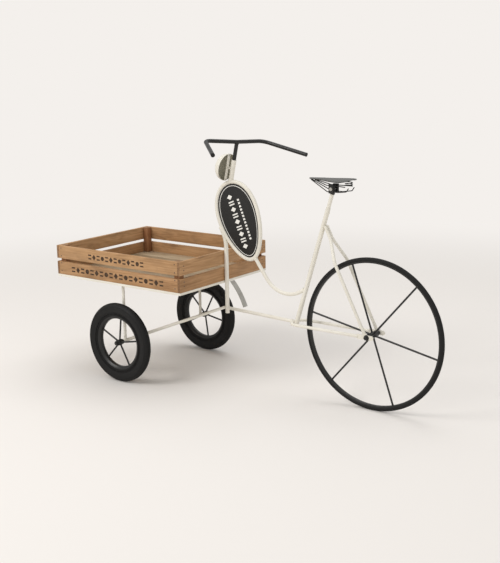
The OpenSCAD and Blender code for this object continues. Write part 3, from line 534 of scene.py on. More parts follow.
class Shape:
    """The mesh of one piece while it is made, in millimetres."""

    def __init__(self) -> None:
        """Start with an empty mesh."""
        self.bm = bmesh.new()
        self.grain = self.bm.verts.layers.float_vector.new("grain")
        self.tone = self.bm.verts.layers.float.new("tone")

    def since(self, old: set[BMVert]) -> list[BMVert]:
        """Give the vertices that aren't among the old ones."""
        return [vert for vert in self.bm.verts if vert not in old]

    def soften(self, edges: Iterable[BMEdge], offset: float, segments: int) -> None:
        """Round the edges given."""
        bmesh.ops.bevel(self.bm, geom=list(edges), offset=offset, segments=segments,
                        profile=0.5, affect="EDGES", material=-1, clamp_overlap=True)

    def block(self, low: Vector, high: Vector, edge: float = 0.8, segments: int = 2,
              turn: Matrix | None = None) -> list[BMVert]:
        """Add a box with rounded edges.

        Args:
            low: Its lowest corner.
            high: Its highest corner.
            edge: How far its edges are rounded.
            segments: The segments of the rounding.
            turn: A matrix that places the finished box.

        Returns:
            Its vertices.
        """
        old = set(self.bm.verts)
        size = high - low
        place = Matrix.Translation((low + high) / 2) @ Matrix.Diagonal((*size, 1.0))
        made = bmesh.ops.create_cube(self.bm, size=1.0, matrix=place)["verts"]
        if edge:
            self.soften({e for v in made for e in v.link_edges}, edge, segments)
        verts = self.since(old)
        if turn:
            bmesh.ops.transform(self.bm, matrix=turn, verts=verts)
        return verts

    def board(self, low: Vector, high: Vector, along: int, rng: random.Random,
              edge: float = 1.2) -> None:
        """Add a board with its own grain and tone, and a second material on its ends.

        Args:
            low: Its lowest corner.
            high: Its highest corner.
            along: The axis that the grain follows: 0, 1 or 2.
            rng: The source of its seed.
            edge: How far its edges are worn round.
        """
        wear = edge * rng.uniform(0.8, 1.25)
        verts = self.block(low, high, wear, 3)
        start = Vector((rng.uniform(-9, 9), rng.uniform(-9, 9), rng.uniform(-9, 9)))
        tone = rng.random()
        middle = (low + high) / 2
        order = [along] + [i for i in range(3) if i != along]
        for vert in verts:
            local = (vert.co - middle) * MM
            vert[self.grain] = Vector([local[i] for i in order]) + start
            vert[self.tone] = tone
        for face in {f for v in verts for f in v.link_faces}:
            face.normal_update()
            face.material_index = int(abs(face.normal[along]) > 0.8)

    def rod(self, start: Vector, end: Vector, radius: float, sides: int = 32,
            chamfer: float = 0.0) -> None:
        """Add a straight round bar.

        Args:
            start: The middle of its first end.
            end: The middle of its other end.
            radius: Its radius.
            sides: Its facets.
            chamfer: How far its ends are rounded.
        """
        run = end - start
        made = bmesh.ops.create_cone(
            self.bm, cap_ends=True, segments=sides, radius1=radius, radius2=radius,
            depth=run.length, matrix=aim((start + end) / 2, run))["verts"]
        if chamfer:
            rims = {e for v in made for e in v.link_edges
                    if any(len(f.verts) == sides for f in e.link_faces)}
            self.soften(rims, chamfer, 2)

    def ring_loop(self, place: Matrix, radius: float, sides: int) -> list[BMVert]:
        """Add an open circle and return its vertices."""
        return bmesh.ops.create_circle(self.bm, cap_ends=False, radius=radius,
                                       segments=sides, matrix=place)["verts"]

    def sweep(self, path: Sequence[Vector], radius: float, sides: int = 24,
              up: Vector = Y_AXIS, closed: bool = False,
              chamfer: float = 0.0) -> None:
        """Run a round section along a path.

        Args:
            path: The points of its centre line.
            radius: The section's radius.
            sides: The section's facets.
            up: A direction that the path never runs along.
            closed: Whether the path's end meets its start.
            chamfer: How far its ends are rounded.
        """
        total = len(path)
        places = []
        for i, point in enumerate(path):
            before = point - path[i - 1] if closed or i else path[1] - path[0]
            after = path[(i + 1) % total] - point if closed or i < total - 1 else before
            heading = before.normalized() + after.normalized()
            places.append(aim(point, heading, up))
        verts = self.ring_loop(places[0], radius, sides)
        edges = list({e for v in verts for e in v.link_edges})
        first = edges
        for here, there in zip(places, places[1:]):
            grown = bmesh.ops.extrude_edge_only(self.bm, edges=edges)["geom"]
            verts = [g for g in grown if isinstance(g, BMVert)]
            fresh = set(verts)
            edges = [g for g in grown if isinstance(g, BMEdge) and set(g.verts) <= fresh]
            bmesh.ops.transform(self.bm, matrix=there @ here.inverted(), verts=verts)
        if closed:
            bmesh.ops.bridge_loops(self.bm, edges=first + edges)
        else:
            for rim in (first, edges):
                bmesh.ops.edgeloop_fill(self.bm, edges=rim)
                if chamfer:
                    self.soften(rim, chamfer, 2)

    def lathe(self, profile: Sequence[tuple[float, float]], centre: Vector, axis: Vector,
              steps: int = 96, closed: bool = True) -> list[BMVert]:
        """Spin a profile all the way round an axis.

        Args:
            profile: Pairs of a radius and a distance along the axis.
            centre: The point of the axis from which that distance is measured.
            axis: The axis.
            steps: The steps of the spin.
            closed: Whether the profile's end is joined to its start.

        Returns:
            Its vertices.
        """
        old = set(self.bm.verts)
        line = [self.bm.verts.new((radius, 0, along)) for radius, along in profile]
        pairs = list(zip(line, line[1:]))
        if closed:
            pairs.append((line[-1], line[0]))
        edges = [self.bm.edges.new(pair) for pair in pairs]
        bmesh.ops.spin(self.bm, geom=line + edges, cent=(0, 0, 0), axis=Z_AXIS,
                       angle=math.tau, steps=steps, use_merge=True)
        verts = self.since(old)
        bmesh.ops.remove_doubles(self.bm, verts=verts, dist=0.001)
        verts = self.since(old)
        bmesh.ops.transform(self.bm, matrix=aim(centre, axis), verts=verts)
        return verts

    def open_tube(self, foot: Vector, axis: Vector, run: float, outer: float, bore: float,
                  floor: float, lip: float) -> None:
        """Add a tube with a closed foot and an open mouth.

        Args:
            foot: The middle of its foot.
            axis: The way up it.
            run: Its length.
            outer: Its radius.
            bore: Its mouth's radius.
            floor: How far above its foot the bore starts.
            lip: The depth of the mouth's inner chamfer.
        """
        self.lathe([(bore, floor), (bore, run - lip), (bore + MOUTH_CHAMFER, run),
                    (outer - MOUTH_ROLL, run), (outer, run - MOUTH_ROLL), (outer, FOOT_ROLL),
                    (outer - FOOT_ROLL, 0), (0, 0), (0, floor)], foot, axis, 48, closed=False)

    def bead(self, centre: Vector, axis: Vector, radius: float, thick: float = 1.3) -> None:
        """Add a rounded ring of weld round a joint.

        Args:
            centre: The joint.
            axis: The axis of the tube that it goes round.
            radius: That tube's radius.
            thick: The weld's own radius.
        """
        turns = [math.tau * index / BEAD_SIDES for index in range(BEAD_SIDES)]
        corners = [(radius + thick * BEAD_WIDTH * math.cos(turn),
                    thick * BEAD_LENGTH * math.sin(turn)) for turn in turns]
        self.lathe(corners, centre, axis, 40)

    def washer(self, x: float, z: float, low: float, high: float, bore: float,
               outer: float) -> None:
        """Add a flat ring across the tricycle, from low to high along Y."""
        soft = min(WASHER_EDGE, (high - low) / 4)
        self.lathe([(bore, 0), (outer - soft, 0), (outer, soft), (outer, high - low - soft),
                    (outer - soft, high - low), (bore, high - low)],
                   Vector((x, low, z)), Y_AXIS, 48)

    def nut(self, centre: Vector, axis: Vector, across: float, thick: float) -> None:
        """Add a hexagonal nut with rounded corners.

        Args:
            centre: The middle of its seat.
            axis: The way it points.
            across: The distance between two flats.
            thick: Its height.
        """
        self.rod(centre, centre + axis * thick, across / 2 / math.cos(math.pi / 6), 6,
                 NUT_EDGE)

    def thicken(self, faces: Iterable[BMFace], by: Vector) -> None:
        """Extrude flat faces into a plate, by a vector."""
        grown = bmesh.ops.extrude_face_region(self.bm, geom=list(faces))["geom"]
        top = [g for g in grown if isinstance(g, BMVert)]
        bmesh.ops.translate(self.bm, vec=by, verts=top)

    def mirrored(self, verts: Sequence[BMVert]) -> None:
        """Add a copy on the other side of the middle plane."""
        faces = list({f for v in verts for f in v.link_faces})
        copy = bmesh.ops.duplicate(self.bm, geom=list(verts) + faces)["geom"]
        moved = [g for g in copy if isinstance(g, BMVert)]
        bmesh.ops.scale(self.bm, vec=(1, -1, 1), verts=moved)
        bmesh.ops.reverse_faces(self.bm, faces=[g for g in copy if isinstance(g, BMFace)])

    def piece(self, name: str, body: Body, paints: Sequence[Material],
              replaces: Sequence[str], angle: float = 35.0) -> bpy.types.Object:
        """Turn the mesh into a finished piece.

        Args:
            name: The piece's name.
            body: The body that it rides on.
            paints: Its materials.
            replaces: The CAD nodes that it stands for.
            angle: The angle between faces, in degrees, from which an edge stays sharp.

        Returns:
            The new object.
        """
        bmesh.ops.recalc_face_normals(self.bm, faces=self.bm.faces)
        bmesh.ops.scale(self.bm, vec=(MM, MM, MM), verts=self.bm.verts)
        mesh = bpy.data.meshes.new(name)
        self.bm.to_mesh(mesh)
        self.bm.free()
        mesh.shade_smooth()
        mesh.set_sharp_from_angle(angle=math.radians(angle))
        for paint in paints:
            mesh.materials.append(paint)
        made = bpy.data.objects.new(name, mesh)
        show(made)
        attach(made, body.value)
        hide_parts(*replaces)
        LOG.info("%s: %d faces on %s", name, len(mesh.polygons), body.value)
        return made


# ---- layout


@dataclass(frozen=True)
class Layout:
    """The driving dimensions that the sub-assemblies share, and the places they give."""

    wheelbase: float = 850.0
    track: float = 456.0
    rear_wheel_r: float = 240.0
    front_wheel_r: float = 136.0
    crate_len: float = 563.0
    crate_w: float = 462.0
    crate_overhang: float = 282.0
    tray_z: float = 342.0
    rail: float = 8.0
    stay_d: float = 10.0
    axle_d: float = 8.0
    front_post_d: float = 14.0
    seat_tube_d: float = 14.5
    seat_tube_len: float = 396.0
    seat_angle: float = 17.5
    seat_foot_gap: float = 39.0
    seat_post_d: float = 12.0
    seat_post_show: float = 40.0
    clamp_rise: float = 24.0
    head_angle: float = 12.5
    head_tube_len: float = 77.0
    head_joint: float = 82.0
    head_sink: float = 3.0
    stem_show: float = 60.0
    sign_half_w: float = 80.0
    sign_half_l: float = 131.0
    sign_tilt: float = 21.5
    sign_taper: float = 0.2
    sign_back: float = 60.0
    sign_z: float = 549.0
    hoop_d: float = 13.0
    weld: float = 0.5
    running: float = 0.05
    end_play: float = 0.3
    stay_half_gap: float = 36.0
    dropout_t: float = 4.0
    front_hub_len: float = 24.0
    nut_af: float = 13.0
    nut_t: float = 5.0
    bar_rise: float = 8.0

    @property
    def rear_axle(self) -> Vector:
        """The middle of the rear axle."""
        total = self.rear_wheel_r + self.wheelbase + self.crate_overhang
        return Vector((total / 2 - self.rear_wheel_r, 0, self.rear_wheel_r))

    @property
    def front_axle(self) -> Vector:
        """The middle of the front axle."""
        return Vector((self.rear_axle.x - self.wheelbase, 0, self.front_wheel_r))

    @property
    def crate_front(self) -> float:
        """The crate's front face."""
        return self.front_axle.x - self.crate_overhang

    @property
    def crate_rear(self) -> float:
        """The crate's rear face."""
        return self.crate_front + self.crate_len

    @property
    def post_x(self) -> float:
        """The front post's middle."""
        return self.crate_rear + self.front_post_d / 2

    @property
    def bar_front_z(self) -> float:
        """The height of the bottom bar at its front end."""
        return self.rear_wheel_r + self.bar_rise

    @property
    def seat_dir(self) -> Vector:
        """The way up the seat tube."""
        lean = math.radians(self.seat_angle)
        return Vector((math.sin(lean), 0, math.cos(lean)))

    @property
    def seat_back(self) -> Vector:
        """The way out of the seat tube's back."""
        return Vector((self.seat_dir.z, 0, -self.seat_dir.x))

    @property
    def seat_foot(self) -> Vector:
        """The foot of the seat tube."""
        axle = self.rear_axle
        return Vector((axle.x - self.rear_wheel_r - self.seat_foot_gap, 0, axle.z))

    @property
    def clamp_pin(self) -> Vector:
        """The pivot of the saddle's clamp."""
        up = self.seat_tube_len + self.seat_post_show + self.clamp_rise
        return self.seat_foot + self.seat_dir * up

    @property
    def head_dir(self) -> Vector:
        """The way up the head tube."""
        lean = math.radians(self.head_angle)
        return Vector((math.sin(lean), 0, math.cos(lean)))

    @property
    def head_foot(self) -> Vector:
        """The foot of the head tube."""
        return self.hoop_point(self.head_joint) - self.head_dir * self.head_sink

    @property
    def head_top(self) -> Vector:
        """The top of the head tube."""
        return self.head_foot + self.head_dir * self.head_tube_len

    @property
    def bar_middle(self) -> Vector:
        """The middle of the handlebar."""
        return self.head_top + self.head_dir * self.stem_show

    def egg(self, angle: float, inset: float = 0.0) -> Vector:
        """Give a point of the sign's outline.

        Args:
            angle: The angle round it, in degrees.
            inset: How far inside the hoop's centre line it lies.

        Returns:
            The point in the sign's own plane.
        """
        turn = math.radians(angle)
        return Vector((
            (self.sign_half_w - inset) * math.cos(turn) * (1 + self.sign_taper * math.sin(turn)),
            (self.sign_half_l - inset) * math.sin(turn), 0))

    @property
    def sign_place(self) -> Matrix:
        """The matrix that stands the sign's plane up, with its front to the left."""
        middle = Vector((self.post_x + self.sign_back, 0, self.sign_z))
        tilt = Matrix.Rotation(math.radians(self.sign_tilt), 4, "Z")
        return Matrix.Translation(middle) @ Matrix.Rotation(math.radians(90), 4, "X") @ tilt

    def hoop_point(self, angle: float) -> Vector:
        """Give a point of the hoop's centre line at an angle in degrees."""
        return self.sign_place @ self.egg(angle)


# ---- sub-assemblies


@dataclass
class Assembly:
    """A sub-assembly: it knows the layout and the paints."""

    at: Layout
    paints: Paintbox

    def dress(self, shape: Shape, name: str, body: Body, finishes: Sequence[Finish],
              replaces: Sequence[str], slot: str, angle: float = 35.0) -> bpy.types.Object:
        """Turn a shape into a piece with the finishes named."""
        paints = [self.paints.get(finish) for finish in finishes]
        return shape.piece(name, body, paints, replaces, angle)

    def painted(self, shape: Shape, node: str, body: Body = Body.FRAME) -> None:
        """Turn a shape into the cream piece that stands for one node."""
        self.dress(shape, node + "_painted", body, [Finish.CREAM], [node], "cream_paint")

    def blackened(self, shape: Shape, node: str, body: Body = Body.FRAME,
                  name: str = "") -> None:
        """Turn a shape into the black piece that stands for one node.

        Args:
            shape: The shape.
            node: The node, whose name the piece takes.
            body: The body that it rides on.
            name: The start of the piece's name, where that isn't the node's.
        """
        self.dress(shape, (name or node) + "_black", body, [Finish.BLACK], [node],
                   "black_paint")


@dataclass
class FrameTubes(Assembly):
    """The welded tubes between the sign hoop, the rear axle and the front axle."""

    bottom_bar_d: float = 11.0
    down_tube_d: float = 12.0
    down_sag: float = 60.0
    down_joint: float = 281.0
    down_joint_s: float = 120.0
    down_straight: float = 25.0
    post_stub: float = 18.0
    post_lean_h: float = 42.0
    post_bend_r: float = 110.0
    post_joint: float = 178.0
    post_sink: float = 2.0
    stay_top_s: float = 340.0
    stay_top_gap: float = 0.2
    stay_sink: float = 3.0
    stay_upper: float = 43.0
    stay_lower: float = 117.0
    stay_bend_r: float = 45.0
    stay_end_x: float = 6.0
    dropout_h: float = 14.0
    dropout_front: float = 34.0
    dropout_back: float = 22.0
    dropout_round: float = 0.98
    mouth_depth: float = 60.0
    stay_weld_r: float = 1.1
    stay_weld_down: float = 0.85
    stay_weld_back: float = 0.5
    stay_weld_lift: float = 2.2
    stay_end_sink: float = 1.5
    foot_weld_r: float = 1.2
    hoop_weld_r: float = 1.4
    hoop_lap: float = 3.0
    bar_front_weld: float = 0.8
    bar_rear_weld: float = 0.6
    down_sink: float = 1.5
    down_top_weld: float = 0.6
    down_foot_weld: float = 1.6
    seat_grub_drop: float = 14.0
    seat_grub_r: float = 2.5
    seat_grub_show: float = 1.5
    head_grub_drop: float = 12.0
    head_grub_r: float = 2.0
    head_grub_near: float = 6.5
    head_grub_far: float = 9.5

    @property
    def hoop_apex(self) -> float:
        """The middle of the chainstay hoop's front run."""
        return self.at.seat_foot.x - self.at.seat_tube_d / 2 - self.at.stay_d / 2

    def build(self) -> None:
        """Build every tube."""
        self.seat_tube()
        self.bottom_bar()
        self.down_tube()
        self.front_post()
        self.chainstay_hoop()
        for side in Side:
            self.seat_stay(side)
        self.dropouts()

    def seat_tube(self) -> None:
        """Build the seat tube with an open, rolled top."""
        at = self.at
        top = at.seat_foot + at.seat_dir * at.seat_tube_len
        outer = at.seat_tube_d / 2
        bore = at.seat_post_d / 2 + at.running
        foot = at.seat_foot - at.seat_dir * (at.stay_d / 2)
        run = (top - foot).length
        shape = Shape()
        shape.open_tube(foot, at.seat_dir, run, outer, bore, run - self.mouth_depth, 0.5)
        back = at.seat_back
        joint = at.seat_foot + at.seat_dir * self.stay_top_s + back * outer
        for side in Side:
            shape.bead(joint + side.out * self.at.stay_d / 2,
                       -at.seat_dir * self.stay_weld_down + back * self.stay_weld_back,
                       at.stay_d / 2 - 0.4, self.stay_weld_r)
        self.painted(shape, "seat_tube")
        screw = Shape()
        hold = at.seat_foot + at.seat_dir * (at.seat_tube_len - self.seat_grub_drop)
        head = at.head_top - at.head_dir * self.head_grub_drop
        front = Vector((at.head_dir.z, 0, -at.head_dir.x))
        for place, out, near, far, radius in (
                (hold, back, bore + at.running, outer + self.seat_grub_show, self.seat_grub_r),
                (head, front, self.head_grub_near, self.head_grub_far, self.head_grub_r)):
            screw.rod(place + out * near, place + out * far, radius, 24, 0.5)
        self.painted(screw, "grub_screws")

    def bottom_bar(self) -> None:
        """Build the bar from the front post back to the stays."""
        shape = Shape()
        radius = self.bottom_bar_d / 2
        start = Vector((self.at.post_x + self.at.front_post_d / 2 - self.at.weld, 0,
                        self.at.bar_front_z))
        end = Vector((self.hoop_apex - self.at.stay_d / 2 + self.at.weld, 0,
                      self.at.rear_wheel_r))
        shape.rod(start, end, radius, 32)
        along = (end - start).normalized()
        for place in (start + along * self.bar_front_weld, end - along * self.bar_rear_weld):
            shape.bead(place, along, radius)
        self.painted(shape, "bottom_bar")

    def down_tube(self) -> None:
        """Build the bent tube that hangs between the hoop and the seat tube."""
        at = self.at
        start = at.hoop_point(self.down_joint)
        end = at.seat_foot + at.seat_dir * self.down_joint_s
        low = Vector(((start.x + end.x) / 2, 0, min(start.z, end.z) - self.down_sag))
        into = (end - low).normalized()
        out = (low - start).normalized()
        leg = min((low - start).length, (end - low).length) - self.down_straight
        bend = leg / math.tan(out.angle(into) / 2)
        reach = at.seat_tube_d / 2 / abs(into.cross(at.seat_dir).length)
        stop = end - into * (reach - self.down_sink)
        shape = Shape()
        radius = self.down_tube_d / 2
        shape.sweep(rounded_path([start, low, stop], bend, 24), radius)
        shape.bead(start + out * (at.hoop_d / 2 + self.down_top_weld), out, radius)
        shape.bead(stop - into * self.down_foot_weld, into, radius)
        self.painted(shape, "down_tube")

    def front_post(self) -> None:
        """Build the post behind the crate, which bends forward into the hoop."""
        at = self.at
        radius = at.front_post_d / 2
        joint = at.hoop_point(self.post_joint) - X_AXIS * (radius - self.post_sink)
        path = rounded_path([
            Vector((at.post_x, 0, self.at.bar_front_z - self.post_stub)),
            Vector((at.post_x, 0, joint.z - self.post_lean_h)),
            joint], self.post_bend_r, 12)
        shape = Shape()
        shape.sweep(path, radius, 32, chamfer=1.0)
        self.painted(shape, "front_post")

    def chainstay_hoop(self) -> None:
        """Build the tube bent round the seat tube's foot."""
        axle = self.at.rear_axle
        end = axle.x - self.dropout_front + self.hoop_lap
        corners = [Vector((end, -self.at.stay_half_gap, axle.z)),
                   Vector((self.hoop_apex, -self.at.stay_half_gap, axle.z)),
                   Vector((self.hoop_apex, self.at.stay_half_gap, axle.z)),
                   Vector((end, self.at.stay_half_gap, axle.z))]
        shape = Shape()
        path = rounded_path(corners, self.at.stay_half_gap - self.at.weld, 16)
        shape.sweep(path, self.at.stay_d / 2, 24, Z_AXIS, chamfer=1.8)
        shape.bead(self.at.seat_foot, self.at.seat_dir, self.at.seat_tube_d / 2 - 0.3,
                   self.hoop_weld_r)
        self.painted(shape, "chainstay_hoop")

    def seat_stay(self, side: Side) -> None:
        """Build one stay from the seat tube, past its outward bend, to its dropout."""
        at = self.at
        behind = at.seat_tube_d / 2 + at.stay_d / 2 - self.stay_sink
        back = at.seat_back
        top = at.seat_foot + at.seat_dir * self.stay_top_s + back * behind
        low = at.rear_axle + Vector((-self.stay_end_x, 0,
                                     self.dropout_h / 2 - self.stay_end_sink))
        down = (low - top).normalized()
        narrow = side.out * (at.stay_d / 2 + self.stay_top_gap)
        wide = side.out * self.at.stay_half_gap
        path = rounded_path([top + narrow, top + down * self.stay_upper + narrow,
                             top + down * self.stay_lower + wide, low + wide],
                            self.stay_bend_r, 8)
        shape = Shape()
        shape.sweep(path, at.stay_d / 2, 24, X_AXIS, chamfer=1.5)
        shape.bead(low + wide + Z_AXIS * self.stay_weld_lift, down, at.stay_d / 2 - 0.6,
                   self.foot_weld_r)
        self.painted(shape, "seat_stay_" + side.name.lower())

    def dropouts(self) -> None:
        """Build the flat plates that hold the rear axle."""
        axle = self.at.rear_axle
        half = self.dropout_h / 2
        shape = Shape()
        near = self.at.stay_half_gap - self.at.dropout_t / 2
        far = near + self.at.dropout_t
        plate = shape.block(Vector((axle.x - self.dropout_front, near, axle.z - half)),
                            Vector((axle.x + self.dropout_back, far, axle.z + half)), 0)
        tips = {e for v in plate for e in v.link_edges
                if all(w.co.x > axle.x for w in e.verts)
                and abs(e.verts[0].co.y - e.verts[1].co.y) > 1}
        shape.soften(tips, half * self.dropout_round, 8)
        shape.mirrored(list(shape.bm.verts))
        self.painted(shape, "dropouts")


@dataclass
class FrontCarriage(Assembly):
    """The front axle, its brace and struts, and the tray that carries the crate."""

    washer_t: float = 2.0
    washer_edge: float = 4.0
    beam_wall: float = 1.5
    strut_inset: float = 8.7
    stub_end: float = 1.5
    brace_bend_r: float = 28.0
    crossbar_step: float = 150.0
    strap_r: float = 240.0
    strap_from: float = 45.0
    strap_sweep: float = 24.0
    strap_w: float = 22.0
    strap_t: float = 2.0
    strap_y: float = 36.0
    stub_sunk: float = 2.0
    weld_r: float = 1.2
    brace_rounds: int = 6
    brace_lap: float = 3.5
    brace_weld: float = 2.2
    strut_foot: float = 3.0
    strut_foot_weld: float = 2.6
    strut_top_weld: float = 1.2
    rail_edge: float = 0.9
    screw_rows: tuple[float, float] = (0.35, 0.75)
    screw_r: float = 3.0
    screw_h: float = 2.0

    @property
    def hub_room(self) -> float:
        """Half of the room that a hub has between its washers."""
        return self.at.front_hub_len / 2 + self.at.end_play

    @property
    def beam_half(self) -> float:
        """Half of the beam's length."""
        return self.at.track / 2 - self.hub_room - self.washer_t

    @property
    def strut_y(self) -> float:
        """How far a strut stands from the middle plane."""
        return self.beam_half - self.at.stay_d / 2 - self.strut_inset

    @property
    def tray_bottom(self) -> float:
        """The underside of the tray."""
        return self.at.tray_z - self.at.rail

    def build(self) -> None:
        """Build the carriage."""
        self.axle()
        self.brace()
        self.struts()
        self.tray()
        self.strap()

    def axle(self) -> None:
        """Build the beam, the stub axles, the washers and the nuts."""
        centre = self.at.front_axle
        radius = self.at.axle_d / 2
        beam = Shape()
        beam.rod(centre - Y_AXIS * self.beam_half, centre + Y_AXIS * self.beam_half,
                 radius + self.beam_wall, 32, 0.4)
        self.painted(beam, "axle_beam")
        outer = self.at.track / 2 + self.hub_room
        tip = outer + self.washer_t + self.at.nut_t + self.stub_end
        stubs, rings, nuts = Shape(), Shape(), Shape()
        for side in Side:
            way = side.out
            stubs.rod(centre + way * (self.beam_half - self.stub_sunk), centre + way * tip, radius,
                      32, 1.0)
            for start in (self.beam_half, outer):
                low, high = sorted((side.value * start, side.value * (start + self.washer_t)))
                rings.washer(centre.x, centre.z, low, high, radius, radius + self.washer_edge)
            nuts.nut(centre + way * (outer + self.washer_t), way, self.at.nut_af, self.at.nut_t)
        self.blackened(stubs, "stub_axles")
        self.blackened(rings, "front_washers")
        self.blackened(nuts, "front_axle_nuts", Body.FRAME, "front_nuts")

    def brace(self) -> None:
        """Build the tube bent to a V between the axle beam and the front post."""
        at = self.at
        middle = at.front_axle
        bend = self.brace_bend_r
        nose = Vector((at.post_x - at.front_post_d / 2 - at.stay_d / 2 + at.weld, 0,
                       self.at.bar_front_z))
        reach = (nose - middle).normalized()
        end_y = self.strut_y - at.stay_d
        run = (nose - middle).length
        past = 0.0
        for _ in range(self.brace_rounds):
            past = bend * (1 / math.sin(math.atan2(end_y, run + past)) - 1)
        corner = nose + reach * past
        ends = [middle + side.out * end_y for side in Side]
        ends = [end + (corner - end).normalized() * self.brace_lap for end in ends]
        shape = Shape()
        shape.sweep(rounded_path([ends[0], corner, ends[1]], bend, 20), at.stay_d / 2, 24,
                    Z_AXIS)
        for end in ends:
            way = (corner - end).normalized()
            shape.bead(end + way * self.brace_weld, way, at.stay_d / 2, self.weld_r)
        self.painted(shape, "front_brace")

    def struts(self) -> None:
        """Build the struts between the axle beam and the tray."""
        middle = self.at.front_axle
        radius = self.at.stay_d / 2
        top_y = min(self.strut_y, self.at.crate_w / 2 - self.at.rail - self.at.stay_d)
        shape = Shape()
        for side in Side:
            foot = middle + side.out * self.strut_y + Z_AXIS * self.strut_foot
            top = Vector((middle.x, side.value * top_y, self.tray_bottom))
            shape.rod(foot, top, radius, 32)
            shape.bead(foot + Z_AXIS * self.strut_foot_weld, Z_AXIS, radius, self.weld_r)
            shape.bead(top - Z_AXIS * self.strut_top_weld, Z_AXIS, radius, self.weld_r)
        self.painted(shape, "struts")

    def tray(self) -> None:
        """Build the tray's rails and crossbars, and the screws through the crossbars."""
        at = self.at
        half = at.crate_w / 2
        low, high = self.tray_bottom, at.tray_z
        sides, ends, bars, screws = Shape(), Shape(), Shape(), Shape()
        for inner, outer in ((-half, -half + at.rail), (half - at.rail, half)):
            sides.block(Vector((at.crate_front, inner, low)),
                        Vector((at.crate_rear, outer, high)), self.rail_edge, 3)
        for x in (at.crate_front, at.crate_rear - at.rail):
            ends.block(Vector((x, -half + at.rail, low)),
                       Vector((x + at.rail, half - at.rail, high)), self.rail_edge, 3)
        top_y = min(self.strut_y, half - at.rail - at.stay_d)
        for x in (at.front_axle.x, at.front_axle.x + self.crossbar_step):
            bars.block(Vector((x - at.stay_d / 2, -half + at.rail, low)),
                       Vector((x + at.stay_d / 2, half - at.rail, high)), self.rail_edge, 3)
            for side in Side:
                for row in self.screw_rows:
                    y = side.value * row * (top_y - at.stay_d)
                    seat = Vector((x, y, low))
                    screws.rod(seat, seat - Z_AXIS * self.screw_h, self.screw_r, 24, 0.7)
        self.painted(sides, "tray_side_rails")
        self.painted(ends, "tray_end_rails")
        self.painted(bars, "tray_crossbars")
        self.dress(screws, "tray_screws", Body.FRAME, [Finish.ZINC], [], "grey_steel")

    def strap(self) -> None:
        """Build the flat strap that hangs in an arc under the rear rail."""
        shape = Shape()
        middle = Vector((
            self.at.crate_rear - self.strap_r * math.cos(math.radians(self.strap_from))
            + self.strap_t, 0,
            self.tray_bottom - self.strap_r * math.sin(math.radians(self.strap_from))))
        end = math.radians(self.strap_from)
        start = Vector((math.cos(end), 0, math.sin(end)))
        grid = bmesh.ops.create_circle(
            shape.bm, cap_ends=True, radius=math.sqrt(0.5), segments=4,
            matrix=Matrix.Translation(
                middle + start * (self.strap_r - self.strap_t / 2) + Y_AXIS * self.strap_y)
            @ Matrix.Rotation(-end, 4, "Y")
            @ Matrix.Diagonal((self.strap_t, self.strap_w, 1.0, 1.0))
            @ Matrix.Rotation(math.radians(45), 4, "Z"))["verts"]
        face = [f for v in grid for f in v.link_faces][:1]
        bmesh.ops.spin(shape.bm, geom=list({e for v in grid for e in v.link_edges}) + grid + face,
                       cent=middle, axis=Y_AXIS, angle=math.radians(self.strap_sweep), steps=24)
        self.dress(shape, "curved_strap_grey", Body.FRAME, [Finish.ZINC], ["curved_strap"],
                   "grey_steel")


